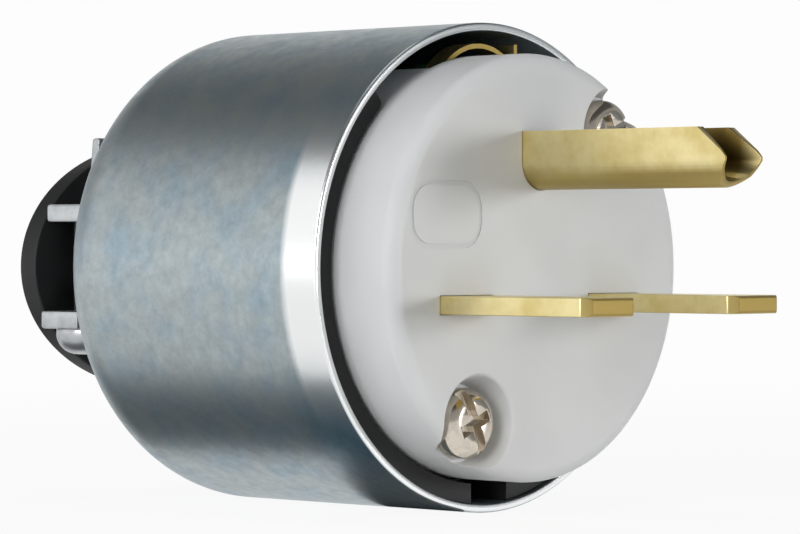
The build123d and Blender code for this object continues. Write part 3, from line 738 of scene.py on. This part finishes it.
def mould_mark(bm):
    """Ring with round corners that cuts the outline of the mould insert."""
    s = sizes()
    corners = bmesh.ops.create_grid(bm, x_segments=1, y_segments=1, size=0.5)["verts"]
    bmesh.ops.rotate(bm, cent=(0, 0, 0), matrix=Matrix.Rotation(pi / 2, 3, "Y"), verts=corners)
    bmesh.ops.scale(bm, vec=(1, s.mark_width, s.mark_height), verts=corners)
    bmesh.ops.translate(bm, vec=(-s.mark_depth, s.mark_y, s.mark_z), verts=corners)
    bmesh.ops.bevel(
        bm,
        geom=corners,
        offset=s.mark_corner,
        affect="VERTICES",
        segments=8,
        profile=0.5,
        material=-1,
    )
    insert = bm.faces[:]
    ring = bmesh.ops.inset_region(
        bm, faces=insert, thickness=s.mark_groove, use_boundary=True, use_even_offset=True
    )["faces"]
    bmesh.ops.delete(bm, geom=insert, context="FACES")
    raised = bmesh.ops.extrude_face_region(bm, geom=ring, use_keep_orig=True)["geom"]
    top = [part for part in raised if isinstance(part, bmesh.types.BMVert)]
    bmesh.ops.translate(bm, vec=(1 * MM, 0, 0), verts=top)


class PLUG_OT_front_body(bpy.types.Operator):
    """Mould the nylon front body with its pockets, slots, wells, keys and towers."""

    bl_idname = "plug.front_body"
    bl_label = "Front body"

    def execute(self, context):
        s = sizes()
        beyond = s.body_radius
        bm = bmesh.new()
        rod(bm, -s.body_depth, 0, (0, 0), s.body_radius, 256)
        rounded(bm, rim(bm, 0, s.body_radius), s.body_edge, 10)
        body = to_mesh(bm, "front_body")

        added = bmesh.new()
        for place in screw_places():
            rod(added, BODY[0][0], s.tower_radius - s.body_depth, place, s.tower_radius)
        for direction in (s.key_near, s.key_far):
            key = block(
                added,
                (-s.body_depth, s.body_radius - s.key_width, -s.key_width / 2),
                (SHELL[1][0] - s.key_inset, SHELL[1][2] - s.shell_wall - s.key_gap, s.key_width / 2),
                direction,
            )
            edges = [edge for edge in added.edges if edge.verts[0] in key]
            rounded(added, edges, s.key_edge, 2)
        body = carved(body, to_mesh(added, "added"), "UNION")

        cut = bmesh.new()
        step = s.slot_gap / 2
        face_radius = s.pocket_floor + s.pocket_flare
        for place in screw_places():
            pocket = [
                (BODY[0][0] - beyond, 0),
                (BODY[0][0] - beyond, s.screw_hole),
                (-s.pocket_depth, s.screw_hole),
                (-s.pocket_depth, s.pocket_floor),
                (step, face_radius),
                (step, face_radius + 2 * s.pocket_lip),
                (s.pocket_depth, face_radius + 2 * s.pocket_lip),
                (s.pocket_depth, 0),
            ]
            turned(cut, pocket, place)
            rounded(cut, rim(cut, step, face_radius, place), s.pocket_lip, 5)
        blade_z = (BLADE[0][2] + BLADE[1][2]) / 2
        thick = s.blade_thickness / 2 + s.slot_gap
        inner, outer = s.blade_inner - s.slot_gap, s.blade_inner + s.blade_width + s.slot_gap
        tang_back = -s.terminal_front - s.tang_length - s.slot_gap
        for side in (-1, 1):
            for front, back, near, far, half in (
                (beyond, tang_back, inner, outer, thick),
                (-s.well_front, -beyond, s.well_floor, 2 * beyond, s.well_height / 2),
                (-s.well_front, tang_back, inner, 2 * beyond, thick),
            ):
                ends = sorted((side * near, side * far))
                block(cut, (back, ends[0], blade_z - half), (front, ends[1], blade_z + half))
        pin_z = PIN[0][2] + s.pin_radius
        pin_back = -s.terminal_front - s.pin_wall
        slot = s.pin_radius + s.slot_gap
        rod(cut, pin_back, beyond, (0, pin_z), slot)
        block(cut, (pin_back, -slot, pin_z), (beyond, slot, s.ground_well_floor - s.pin_wall - s.key_gap))
        half = s.ground_well_width / 2
        block(cut, (-beyond, -half, s.ground_well_floor), (-s.ground_well_front, half, 2 * beyond))
        body = carved(body, to_mesh(cut, "cut"), "DIFFERENCE")

        mark = bmesh.new()
        mould_mark(mark)
        body = carved(body, to_mesh(mark, "mark"), "DIFFERENCE")
        add_piece("nylon_front_body", body, "nylon_white", ["front_body"])
        return {"FINISHED"}


class PLUG_OT_liner(bpy.types.Operator):
    """Roll the fibre liner, round its ends and notch its bottom."""

    bl_idname = "plug.liner"
    bl_label = "Fibre liner"

    def execute(self, context):
        s = sizes()
        back, front = LINER[0][0], LINER[1][0]
        outer = SHELL[1][2] - s.shell_wall - s.liner_gap
        inner = outer - s.liner_wall
        bm = bmesh.new()
        section = [
            bm.verts.new((x, radius * cos(s.liner_start), radius * sin(s.liner_start)))
            for x, radius in ((front, inner), (front, outer), (back, outer), (back, inner))
        ]
        strip = bm.faces.new(section)
        bmesh.ops.spin(
            bm,
            geom=section + list(strip.edges) + [strip],
            cent=(0, 0, 0),
            axis=(1, 0, 0),
            angle=s.liner_sweep,
            steps=150,
        )
        bmesh.ops.holes_fill(bm, edges=[edge for edge in bm.edges if edge.is_boundary])
        ends = [edge for edge in sharp_edges(bm) if abs(edge.calc_length() - (front - back)) < TOUCHING]
        rounded(bm, ends, s.liner_end, 5)
        notch = bmesh.new()
        block(
            notch,
            (front - s.notch_depth, s.notch_shift - s.notch_width / 2, -outer - s.liner_wall),
            (front + s.notch_depth, s.notch_shift + s.notch_width / 2, -inner + 2 * s.liner_wall),
        )
        liner = carved(to_mesh(bm, "liner"), to_mesh(notch, "notch"), "DIFFERENCE")
        add_piece("fibre_liner", liner, "fibre_black", ["insulating_liner"])
        return {"FINISHED"}


class PLUG_OT_line_blades(bpy.types.Operator):
    """Stamp the two blades, with their tangs and terminal plates."""

    bl_idname = "plug.line_blades"
    bl_label = "Line blades"

    def execute(self, context):
        s = sizes()
        tip, plate_back, plate_side = BLADE[1][0], BLADE[0][0], BLADE[1][1]
        z, half = (BLADE[0][2] + BLADE[1][2]) / 2, s.blade_thickness / 2
        for side, node in ((-1, "line_blade_near"), (1, "line_blade_far")):
            across = sorted((side * s.blade_inner, side * (s.blade_inner + s.blade_width)))
            bm = bmesh.new()
            block(bm, (-s.terminal_front, across[0], z - half), (tip, across[1], z + half))
            at_tip = [e for e in bm.edges if all(abs(v.co.x - tip) < TOUCHING for v in e.verts)]
            corners = [e for e in at_tip if abs(e.verts[0].co.y - e.verts[1].co.y) < TOUCHING]
            rounded(bm, corners, s.blade_corner, 1)
            nose = [e for e in sharp_edges(bm, 80) if all(abs(v.co.x - tip) < TOUCHING for v in e.verts)]
            rounded(bm, nose, s.blade_nose, 2)
            rounded(bm, sharp_edges(bm, 40), s.blade_edge, 2)
            blade = to_mesh(bm, node)
            added = bmesh.new()
            reach = sorted((side * s.blade_inner, side * plate_side))
            block(
                added,
                (-s.terminal_front - s.tang_length, reach[0], z - half),
                (-s.terminal_front + half, reach[1], z + half),
            )
            plate = sorted((side * plate_side, side * (plate_side - s.terminal_wall)))
            block(added, (plate_back, plate[0], BLADE[0][2]), (-s.terminal_front, plate[1], BLADE[1][2]))
            blade = carved(blade, to_mesh(added, "terminal"), "UNION")
            hole = bmesh.new()
            middle = (plate_back - s.terminal_front) / 2
            drill = rod(hole, -plate_side, plate_side, (0, 0), s.terminal_hole, 32)
            bmesh.ops.rotate(hole, cent=(0, 0, 0), matrix=Matrix.Rotation(pi / 2, 3, "Z"), verts=drill)
            bmesh.ops.translate(hole, vec=(middle, side * plate_side, z), verts=drill)
            blade = carved(blade, to_mesh(hole, "hole"), "DIFFERENCE")
            add_piece(node.replace("line_", "brass_"), blade, "brass", [node])
        return {"FINISHED"}


# Outline of the pin's tip, in millimetres back from its end and up from its middle
PIN_TIP = ((2.9, 2.5), (0.45, 0.6), (0.0, 0.1), (0.0, -0.2), (0.8, -1.5), (1.9, -2.375))


class PLUG_OT_ground_pin(bpy.types.Operator):
    """Run the folded grounding pin out to its length and cut its bullet tip."""

    bl_idname = "plug.ground_pin"
    bl_label = "Grounding pin"

    def execute(self, context):
        s = sizes()
        end = PIN[1][0]
        middle = PIN[0][2] + s.pin_radius
        bm = bmesh.new()
        bm.from_mesh(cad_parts["ground_pin"].data)
        bmesh.ops.remove_doubles(bm, verts=bm.verts, dist=TOUCHING)
        bmesh.ops.dissolve_limit(bm, angle_limit=radians(0.5), verts=bm.verts, edges=bm.edges)
        section = sliced(bm, (end / 2, 0, 0), (1, 0, 0))
        run = bmesh.ops.extrude_face_region(bm, geom=section)["geom"]
        bmesh.ops.delete(bm, geom=section, context="FACES_ONLY")
        moved = [part for part in run if isinstance(part, bmesh.types.BMVert)]
        bmesh.ops.translate(bm, vec=(end, 0, 0), verts=moved)
        for (back, up), (next_back, next_up) in zip(PIN_TIP, PIN_TIP[1:]):
            slope = Vector((back - next_back, 0, next_up - up))
            sliced(
                bm,
                (end - back * MM, 0, middle + up * MM),
                Vector((-slope.z, 0, slope.x)),
            )
        pin = to_mesh(bm, "pin")

        flare = bmesh.new()
        narrow, wide = s.pin_radius - s.pin_wall, s.pin_radius - s.pin_thin
        round_part = rod(flare, end - s.pin_flare, end, (0, middle), narrow)
        flat_part = block(flare, (end - s.pin_flare, -narrow, middle), (end, narrow, PIN[1][2] + MM))
        growth = wide / narrow
        for part, across in ((round_part, (1, growth, growth)), (flat_part, (1, growth, 1))):
            mouth = [v for v in part if v.co.x > end - s.pin_flare / 2]
            bmesh.ops.scale(flare, vec=across, verts=mouth, space=Matrix.Translation((0, 0, -middle)))
        pin = carved(pin, to_mesh(flare, "flare"), "DIFFERENCE")
        add_piece("brass_ground_pin", pin, "brass", ["ground_pin"])
        return {"FINISHED"}


class PLUG_OT_face_screws(bpy.types.Operator):
    """Turn the two assembly screws and cut their slots and crosses."""

    bl_idname = "plug.face_screws"
    bl_label = "Assembly screws"

    def execute(self, context):
        s = sizes()
        top, end = SCREWS[1][0], SCREWS[0][0]
        seat = top - s.head_height
        bm = bmesh.new()
        cut = bmesh.new()
        for place, direction in zip(screw_places(), (s.near_slot, s.far_slot)):
            section = [
                (end, 0),
                (end, s.shank_radius),
                (seat, s.shank_radius),
                (seat, s.head_radius),
                (top, s.head_radius),
                (top, 0),
            ]
            turned(bm, section, place)
            rounded(bm, rim(bm, top, s.head_radius, place), s.head_crown, 10)
            half = s.slot_width / 2
            for wide, high in ((s.head_radius + half, half), (half, s.cross_length / 2)):
                arm = block(cut, (top - s.slot_depth, -wide, -high), (top + s.slot_depth, wide, high))
                bmesh.ops.rotate(cut, cent=(0, 0, 0), matrix=Matrix.Rotation(direction, 3, "X"), verts=arm)
                bmesh.ops.translate(cut, vec=(0, *place), verts=arm)
        screws = carved(to_mesh(bm, "screws"), to_mesh(cut, "slots"), "DIFFERENCE")
        add_piece("assembly_screws", eased(screws, s.slot_edge), "screw_nickel", ["face_screws"])
        return {"FINISHED"}


class PLUG_OT_cord_collar(bpy.types.Operator):
    """Mould the rubber collar: an oval flange, a neck and a lip round one bore."""

    bl_idname = "plug.cord_collar"
    bl_label = "Cord collar"

    def execute(self, context):
        s = sizes()
        back, front, wide, high = COLLAR[0][0], COLLAR[1][0], COLLAR[1][1], COLLAR[1][2]
        flange, lip = back + s.flange_wall, front - s.lip_wall
        bore = s.bore_radius
        bm = bmesh.new()
        upright = Matrix.Rotation(pi / 2, 4, "Y")
        ring = bmesh.ops.create_circle(bm, segments=192, radius=bore, matrix=upright)
        bmesh.ops.translate(bm, vec=(back, 0, 0), verts=ring["verts"])
        edges, last = bm.edges[:], (back, bore, bore)
        for step in (
            (back, wide, high),
            (flange, wide, high),
            (flange, s.neck_radius, s.neck_radius),
            (lip, s.neck_radius, s.neck_radius),
            (lip, s.lip_radius, s.lip_radius),
            (front, s.lip_radius, s.lip_radius),
            (front, bore, bore),
            (back, bore, bore),
        ):
            run = bmesh.ops.extrude_edge_only(bm, edges=edges)["geom"]
            verts = [part for part in run if isinstance(part, bmesh.types.BMVert)]
            edges = [edge for edge in bm.edges if set(edge.verts) <= set(verts)]
            bmesh.ops.scale(bm, vec=(1, step[1] / last[1], step[2] / last[2]), verts=verts)
            bmesh.ops.translate(bm, vec=(step[0] - last[0], 0, 0), verts=verts)
            last = step
        bmesh.ops.remove_doubles(bm, verts=bm.verts, dist=TOUCHING)
        bmesh.ops.recalc_face_normals(bm, faces=bm.faces)
        rounded(bm, [edge for edge in sharp_edges(bm) if edge.is_convex], s.flange_edge, 3)
        collar = to_mesh(bm, "collar")
        add_piece("rubber_collar", collar, "collar_rubber", ["cord_collar"])
        return {"FINISHED"}


# Steps of the arch in each clamp bar
ARCH_STEPS = 24


def clamp_bar(bm, box, up):
    """Flat bar bent over the collar's neck, above it or below it."""
    s = sizes()
    tips = []
    for wall in (0.0, s.bar_wall):
        radius, level = s.neck_radius + s.arch_gap + wall, s.bar_gap / 2 + wall
        start = bm.verts.new((box[0][0], (radius**2 - level**2) ** 0.5, level))
        arch = bmesh.ops.spin(
            bm,
            geom=[start],
            cent=(0, 0, 0),
            axis=(1, 0, 0),
            angle=2 * acos(level / radius),
            steps=ARCH_STEPS,
        )
        stop = next(part for part in arch["geom_last"] if isinstance(part, bmesh.types.BMVert))
        for end, side in ((start, box[1][1]), (stop, box[0][1])):
            flat = bmesh.ops.extrude_vert_indiv(bm, verts=[end])["verts"]
            bmesh.ops.translate(bm, vec=(0, side - end.co.y, 0), verts=flat)
            tips += flat
    for pair in (tips[0::2], tips[1::2]):
        bmesh.ops.contextual_create(bm, geom=pair)
    section = bmesh.ops.contextual_create(bm, geom=bm.edges[:])["faces"]
    run = bmesh.ops.extrude_face_region(bm, geom=section, use_keep_orig=True)["geom"]
    moved = [part for part in run if isinstance(part, bmesh.types.BMVert)]
    bmesh.ops.translate(bm, vec=(box[1][0] - box[0][0], 0, 0), verts=moved)
    if not up:
        bmesh.ops.scale(bm, vec=(1, 1, -1), verts=bm.verts)
    bmesh.ops.recalc_face_normals(bm, faces=bm.faces)
    rounded(bm, sharp_edges(bm, 60), s.stamped_edge, 2)


def clamp_screw_place():
    """Middle of the far clamp screw, along and across."""
    radius = sizes().clamp_head_radius
    return CLAMP_SCREWS[0][0] + radius, CLAMP_SCREWS[1][1] - radius


def bracket_ears(bm):
    """Ears of the bracket, turned up against the shell's back."""
    s = sizes()
    back, side_edge, top = BRACKET[1]
    for side in (-1, 1):
        across = sorted((side * s.ear_inner, side * side_edge))
        low = (back - s.ear_wall, across[0], (s.bar_gap + s.bar_wall) / 2)
        ear = block(bm, low, (back, across[1], top))
        middle = (s.ear_inner + side_edge) / 2
        outer_top = [v for v in ear if v.co.z > s.bar_gap and abs(v.co.y) > middle]
        bmesh.ops.translate(bm, vec=(0, -side * s.ear_taper, 0), verts=outer_top)
    rounded(bm, sharp_edges(bm, 60), s.stamped_edge, 2)


class PLUG_OT_clamp_bars(bpy.types.Operator):
    """Bend the clamp's two bars, fold up the bracket's ears and drill the screw holes."""

    bl_idname = "plug.clamp_bars"
    bl_label = "Clamp bars"

    def execute(self, context):
        s = sizes()
        screw_x, screw_y = clamp_screw_place()
        reach = s.clamp_head_radius + s.bar_gap
        for name, node, box in (
            ("steel_bracket", "clamp_bracket", BRACKET),
            ("steel_strap", "clamp_strap", STRAP),
        ):
            bm = bmesh.new()
            clamp_bar(bm, box, node == "clamp_bracket")
            bar = to_mesh(bm, node)
            if node == "clamp_bracket":
                ears = bmesh.new()
                bracket_ears(ears)
                bar = carved(bar, to_mesh(ears, "ears"), "UNION")
            holes = bmesh.new()
            upright = Matrix.Rotation(pi / 2, 3, "Y")
            for side in (-1, 1):
                drill = rod(holes, -reach, reach, (0, 0), s.clamp_hole, 48)
                bmesh.ops.rotate(holes, cent=(0, 0, 0), matrix=upright, verts=drill)
                bmesh.ops.translate(holes, vec=(screw_x, side * screw_y, 0), verts=drill)
            bar = carved(bar, to_mesh(holes, "holes"), "DIFFERENCE")
            add_piece(name, bar, "clamp_steel", [node])
        return {"FINISHED"}


class PLUG_OT_clamp_screws(bpy.types.Operator):
    """Turn the clamp's two pan-head screws and cut their slots."""

    bl_idname = "plug.clamp_screws"
    bl_label = "Clamp screws"

    def execute(self, context):
        s = sizes()
        radius, half = s.clamp_head_radius, s.clamp_slot / 2
        screw_x, screw_y = clamp_screw_place()
        low, end = CLAMP_SCREWS[0][2], CLAMP_SCREWS[1][2]
        seat = low + s.clamp_head_height
        section = [
            (low, 0),
            (low, radius),
            (seat, radius),
            (seat, s.clamp_shank),
            (end, s.clamp_shank),
            (end, 0),
        ]
        upright = Matrix.Rotation(-pi / 2, 3, "Y")
        bm = bmesh.new()
        cut = bmesh.new()
        for side in (-1, 1):
            screw = bmesh.new()
            turned(screw, section)
            rounded(screw, rim(screw, low, radius), s.clamp_head_crown, 8)
            bmesh.ops.rotate(screw, cent=(0, 0, 0), matrix=upright, verts=screw.verts)
            bmesh.ops.translate(screw, vec=(screw_x, side * screw_y, 0), verts=screw.verts)
            bm.from_mesh(to_mesh(screw, "screw"))
            block(
                cut,
                (screw_x - 2 * radius, side * screw_y - half, low - s.clamp_slot),
                (screw_x + 2 * radius, side * screw_y + half, low + s.clamp_slot),
            )
        screws = carved(to_mesh(bm, "screws"), to_mesh(cut, "slots"), "DIFFERENCE")
        add_piece("clamp_screws_zinc", eased(screws, s.slot_edge), "clamp_steel", ["clamp_screws"])
        return {"FINISHED"}


class PLUG_OT_bracket_rivets(bpy.types.Operator):
    """Turn the two rivets that hold the bracket's ears to the shell."""

    bl_idname = "plug.bracket_rivets"
    bl_label = "Bracket rivets"

    def execute(self, context):
        s = sizes()
        outside, inside = RIVETS[0][0], RIVETS[1][0]
        section = [
            (outside, 0),
            (outside, s.rivet_head),
            (outside + s.rivet_height, s.rivet_head),
            (outside + s.rivet_height, s.rivet_shank),
            (inside - s.rivet_height, s.rivet_shank),
            (inside - s.rivet_height, s.rivet_head),
            (inside, s.rivet_head),
            (inside, 0),
        ]
        bm = bmesh.new()
        for side in (-1, 1):
            place = (side * (RIVETS[1][1] - s.rivet_head), RIVETS[1][2] - s.rivet_head)
            turned(bm, section, place, 48)
            heads = rim(bm, outside, s.rivet_head, place) + rim(bm, inside, s.rivet_head, place)
            rounded(bm, heads, s.rivet_crown, 5)
        add_piece("steel_rivets", to_mesh(bm, "rivets"), "clamp_steel", ["bracket_rivets"])
        return {"FINISHED"}


class PLUG_OT_inner_parts(bpy.types.Operator):
    """Give the parts inside the shell their finishes."""

    bl_idname = "plug.inner_parts"
    bl_label = "Inner parts"

    def execute(self, context):
        for node, slot in (
            ("rear_barrier", "fibre_black"),
            ("line_terminal_screws", "brass"),
            ("line_clamp_near", "clamp_steel"),
            ("line_clamp_far", "clamp_steel"),
            ("ground_terminal_screw", "green_screw"),
            ("ground_clamp", "clamp_steel"),
            ("ground_strap", "brass"),
            ("screw_yoke", "clamp_steel"),
        ):
            for material_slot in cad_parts[node].material_slots:
                material_slot.material = finish(slot)
        return {"FINISHED"}


def add_light(name, place, aim, size, power):
    """A soft rectangular lamp at a place in millimetres, aimed at another."""
    lamp = bpy.data.lights.new(name, "AREA")
    lamp.shape = "RECTANGLE"
    lamp.size, lamp.size_y = size[0] * MM, size[1] * MM
    lamp.energy = power
    obj = bpy.data.objects.new(name, lamp)
    obj.location = Vector(place) * MM
    obj.rotation_euler = (Vector(aim) - Vector(place)).to_track_quat("-Z", "Y").to_euler()
    bpy.context.scene.collection.objects.link(obj)


def add_card(name, low, high, turn=0.0):
    """A grey card that only the metal's reflections show, between two corners in millimetres."""
    bm = bmesh.new()
    made = block(bm, Vector(low) * MM, Vector(high) * MM)
    bmesh.ops.rotate(bm, cent=(0, 0, 0), matrix=Matrix.Rotation(turn, 3, "Z"), verts=made)
    card = bpy.data.objects.new(name, to_mesh(bm, name))
    material = bpy.data.materials.get("Grey studio card")
    if material is None:
        material, tree = new_material("Grey studio card")
        matt = add_node(tree, "ShaderNodeBsdfDiffuse", {"Color": colours().card})
        add_node(tree, "ShaderNodeOutputMaterial", {"Surface": matt})
    card.data.materials.append(material)
    card.visible_camera = card.visible_diffuse = card.visible_shadow = False
    bpy.context.scene.collection.objects.link(card)


# Matt paper that fades into the white backdrop away from the plug and keeps its shadow
def studio_paper(name):
    material, tree = new_material(name)
    paper = add_node(tree, "ShaderNodeBsdfDiffuse", {"Color": colours().paper})
    glow = add_node(tree, "ShaderNodeEmission", {"Color": colours().backdrop, "Strength": 1.0})
    camera_ray = add_node(tree, "ShaderNodeLightPath", output="Is Camera Ray")
    glossy_ray = add_node(tree, "ShaderNodeLightPath", output="Is Glossy Ray")
    clear_ray = add_node(tree, "ShaderNodeLightPath", output="Is Transmission Ray")
    metal_ray = add_node(tree, "ShaderNodeMath", {0: glossy_ray, 1: clear_ray})
    seen = add_node(tree, "ShaderNodeMath", {0: camera_ray, 1: metal_ray}, use_clamp=True)
    place = add_node(tree, "ShaderNodeTexCoord", output="Object")
    away = add_node(tree, "ShaderNodeVectorMath", {0: place}, output="Value", operation="LENGTH")
    fade = add_node(
        tree,
        "ShaderNodeMapRange",
        {"Value": away, "From Min": 0.03, "From Max": 0.4, "To Min": 0.93, "To Max": 1.0},
        interpolation_type="SMOOTHSTEP",
    )
    white = add_node(tree, "ShaderNodeMath", {0: seen, 1: fade}, operation="MULTIPLY")
    mixed = add_node(tree, "ShaderNodeMixShader", {0: white, 1: paper, 2: glow})
    add_node(tree, "ShaderNodeOutputMaterial", {"Surface": mixed})
    return material


def studio_floor(height):
    """A wide sheet of paper under the plug."""
    bm = bmesh.new()
    bmesh.ops.create_grid(bm, x_segments=1, y_segments=1, size=6.0)
    bmesh.ops.translate(bm, vec=(0, 0, height), verts=bm.verts)
    floor = bpy.data.objects.new("floor", to_mesh(bm, "floor"))
    floor.data.materials.append(studio_paper("Pale studio paper"))
    bpy.context.scene.collection.objects.link(floor)


def studio_sky(name):
    """A world that is white low down, grey half way up and dark overhead."""
    world = bpy.data.worlds.new(name)
    world.use_nodes = True
    tree = world.node_tree
    tree.nodes.clear()
    way = add_node(tree, "ShaderNodeTexCoord", output="Generated")
    height = add_node(tree, "ShaderNodeSeparateXYZ", {"Vector": way}, output="Z")
    stops = [(place, grey(level)) for place, level in SKY_LEVELS]
    sky = add_node(tree, "ShaderNodeValToRGB", {"Fac": height}, stops=stops)
    light = add_node(tree, "ShaderNodeBackground", {"Color": sky, "Strength": 1.0})
    add_node(tree, "ShaderNodeOutputWorld", {"Surface": light})
    return world


def studio_camera(name):
    """A camera at the photograph's viewing angle."""
    turn, rise = radians(CAMERA_TURN), radians(CAMERA_RISE)
    aim = Vector(CAMERA_AIM) * MM
    away = Vector((sin(turn) * cos(rise), -cos(turn) * cos(rise), sin(rise)))
    camera = bpy.data.objects.new(name, bpy.data.cameras.new(name))
    camera.data.sensor_width = 36.0
    camera.data.lens = CAMERA_LENS
    camera.data.clip_start = 0.01
    camera.location = aim + CAMERA_DISTANCE * MM * away
    camera.rotation_euler = (aim - camera.location).to_track_quat("-Z", "Y").to_euler()
    bpy.context.scene.collection.objects.link(camera)
    return camera


# Lamps: name, place and aim in millimetres, width and height in millimetres, watts
LAMPS = (
    ("left_softbox", (-281, -253, 110), (-15, 0, 0), (260, 260), 0.134),
    ("back_softbox", (-300, 230, 140), (-15, 0, 0), (260, 200), 0.12),
    ("key_lamp", (616, 332, 35), (0, 0, 0), (150, 150), 1.85),
    ("front_fill", (100, -600, 150), (0, 0, 0), (300, 300), 2.15),
    ("overhead", (0, 0, 650), (0, 0, 0), (300, 300), 0.9),
)
# Brightness of the sky from the horizon (0) to overhead (1)
SKY_LEVELS = ((0.0, 0.98), (0.075, 0.98), (0.10, 0.46), (0.50, 0.40), (0.62, 0.10), (1.0, 0.08))
# Camera fitted to the photograph, in millimetres and degrees
CAMERA_AIM = (-16.544, 0.0, 0.015)
CAMERA_TURN, CAMERA_RISE = 44.243, 0.407
CAMERA_DISTANCE, CAMERA_LENS = 321.486, 166.5


class PLUG_OT_studio(bpy.types.Operator):
    """Set out the floor, the cards, the lamps, the sky and the camera."""

    bl_idname = "plug.studio"
    bl_label = "Studio"

    def execute(self, context):
        scene = context.scene
        scene.view_settings.view_transform = "Standard"
        floor_z = CAD_BOX[0][2]
        studio_floor(floor_z)
        low = floor_z / MM
        # Cards seen only in reflections: the two on the floor paint the shade under the plug into the
        # metal's reflections, a painted shade, and the right one gives a painted dark reflection
        add_card("floor_shade_card", (-75, -27, low + 0.1), (-4, -13, low + 0.2))
        add_card("mouth_shade_card", (-15, -13, low + 0.1), (-4, -3, low + 0.2))
        add_card("right_card", (220, -90, -20), (221, 110, 110), radians(46))
        scene.world = studio_sky("Studio")
        for lamp in LAMPS:
            add_light(*lamp)
        scene.camera = studio_camera("camera")
        return {"FINISHED"}


STEPS = (
    PLUG_OT_shell,
    PLUG_OT_front_body,
    PLUG_OT_liner,
    PLUG_OT_line_blades,
    PLUG_OT_ground_pin,
    PLUG_OT_face_screws,
    PLUG_OT_cord_collar,
    PLUG_OT_clamp_bars,
    PLUG_OT_clamp_screws,
    PLUG_OT_bracket_rivets,
    PLUG_OT_inner_parts,
    PLUG_OT_studio,
)


class PLUG_PT_panel(bpy.types.Panel):
    """Sidebar list of the plug's steps."""

    bl_idname = "PLUG_PT_panel"
    bl_label = "Armored plug"
    bl_space_type = "VIEW_3D"
    bl_region_type = "UI"
    bl_category = "Plug"

    def draw(self, context):
        for step in STEPS:
            self.layout.operator(step.bl_idname)


CLASSES = (PlugSizes, PlugColours, *STEPS, PLUG_PT_panel)


def register():
    """Make the plug's classes and values known to Blender."""
    for cls in CLASSES:
        bpy.utils.register_class(cls)
    bpy.types.Scene.plug_sizes = PointerProperty(type=PlugSizes)
    bpy.types.Scene.plug_colours = PointerProperty(type=PlugColours)


def unregister():
    """Take the plug's classes and values out again."""
    del bpy.types.Scene.plug_colours
    del bpy.types.Scene.plug_sizes
    for cls in reversed(CLASSES):
        bpy.utils.unregister_class(cls)


def main():
    """Build the plug and its studio."""
    register()
    for step in STEPS:
        group, name = step.bl_idname.split(".")
        getattr(getattr(bpy.ops, group), name)()


if __name__ == "__main__":
    main()
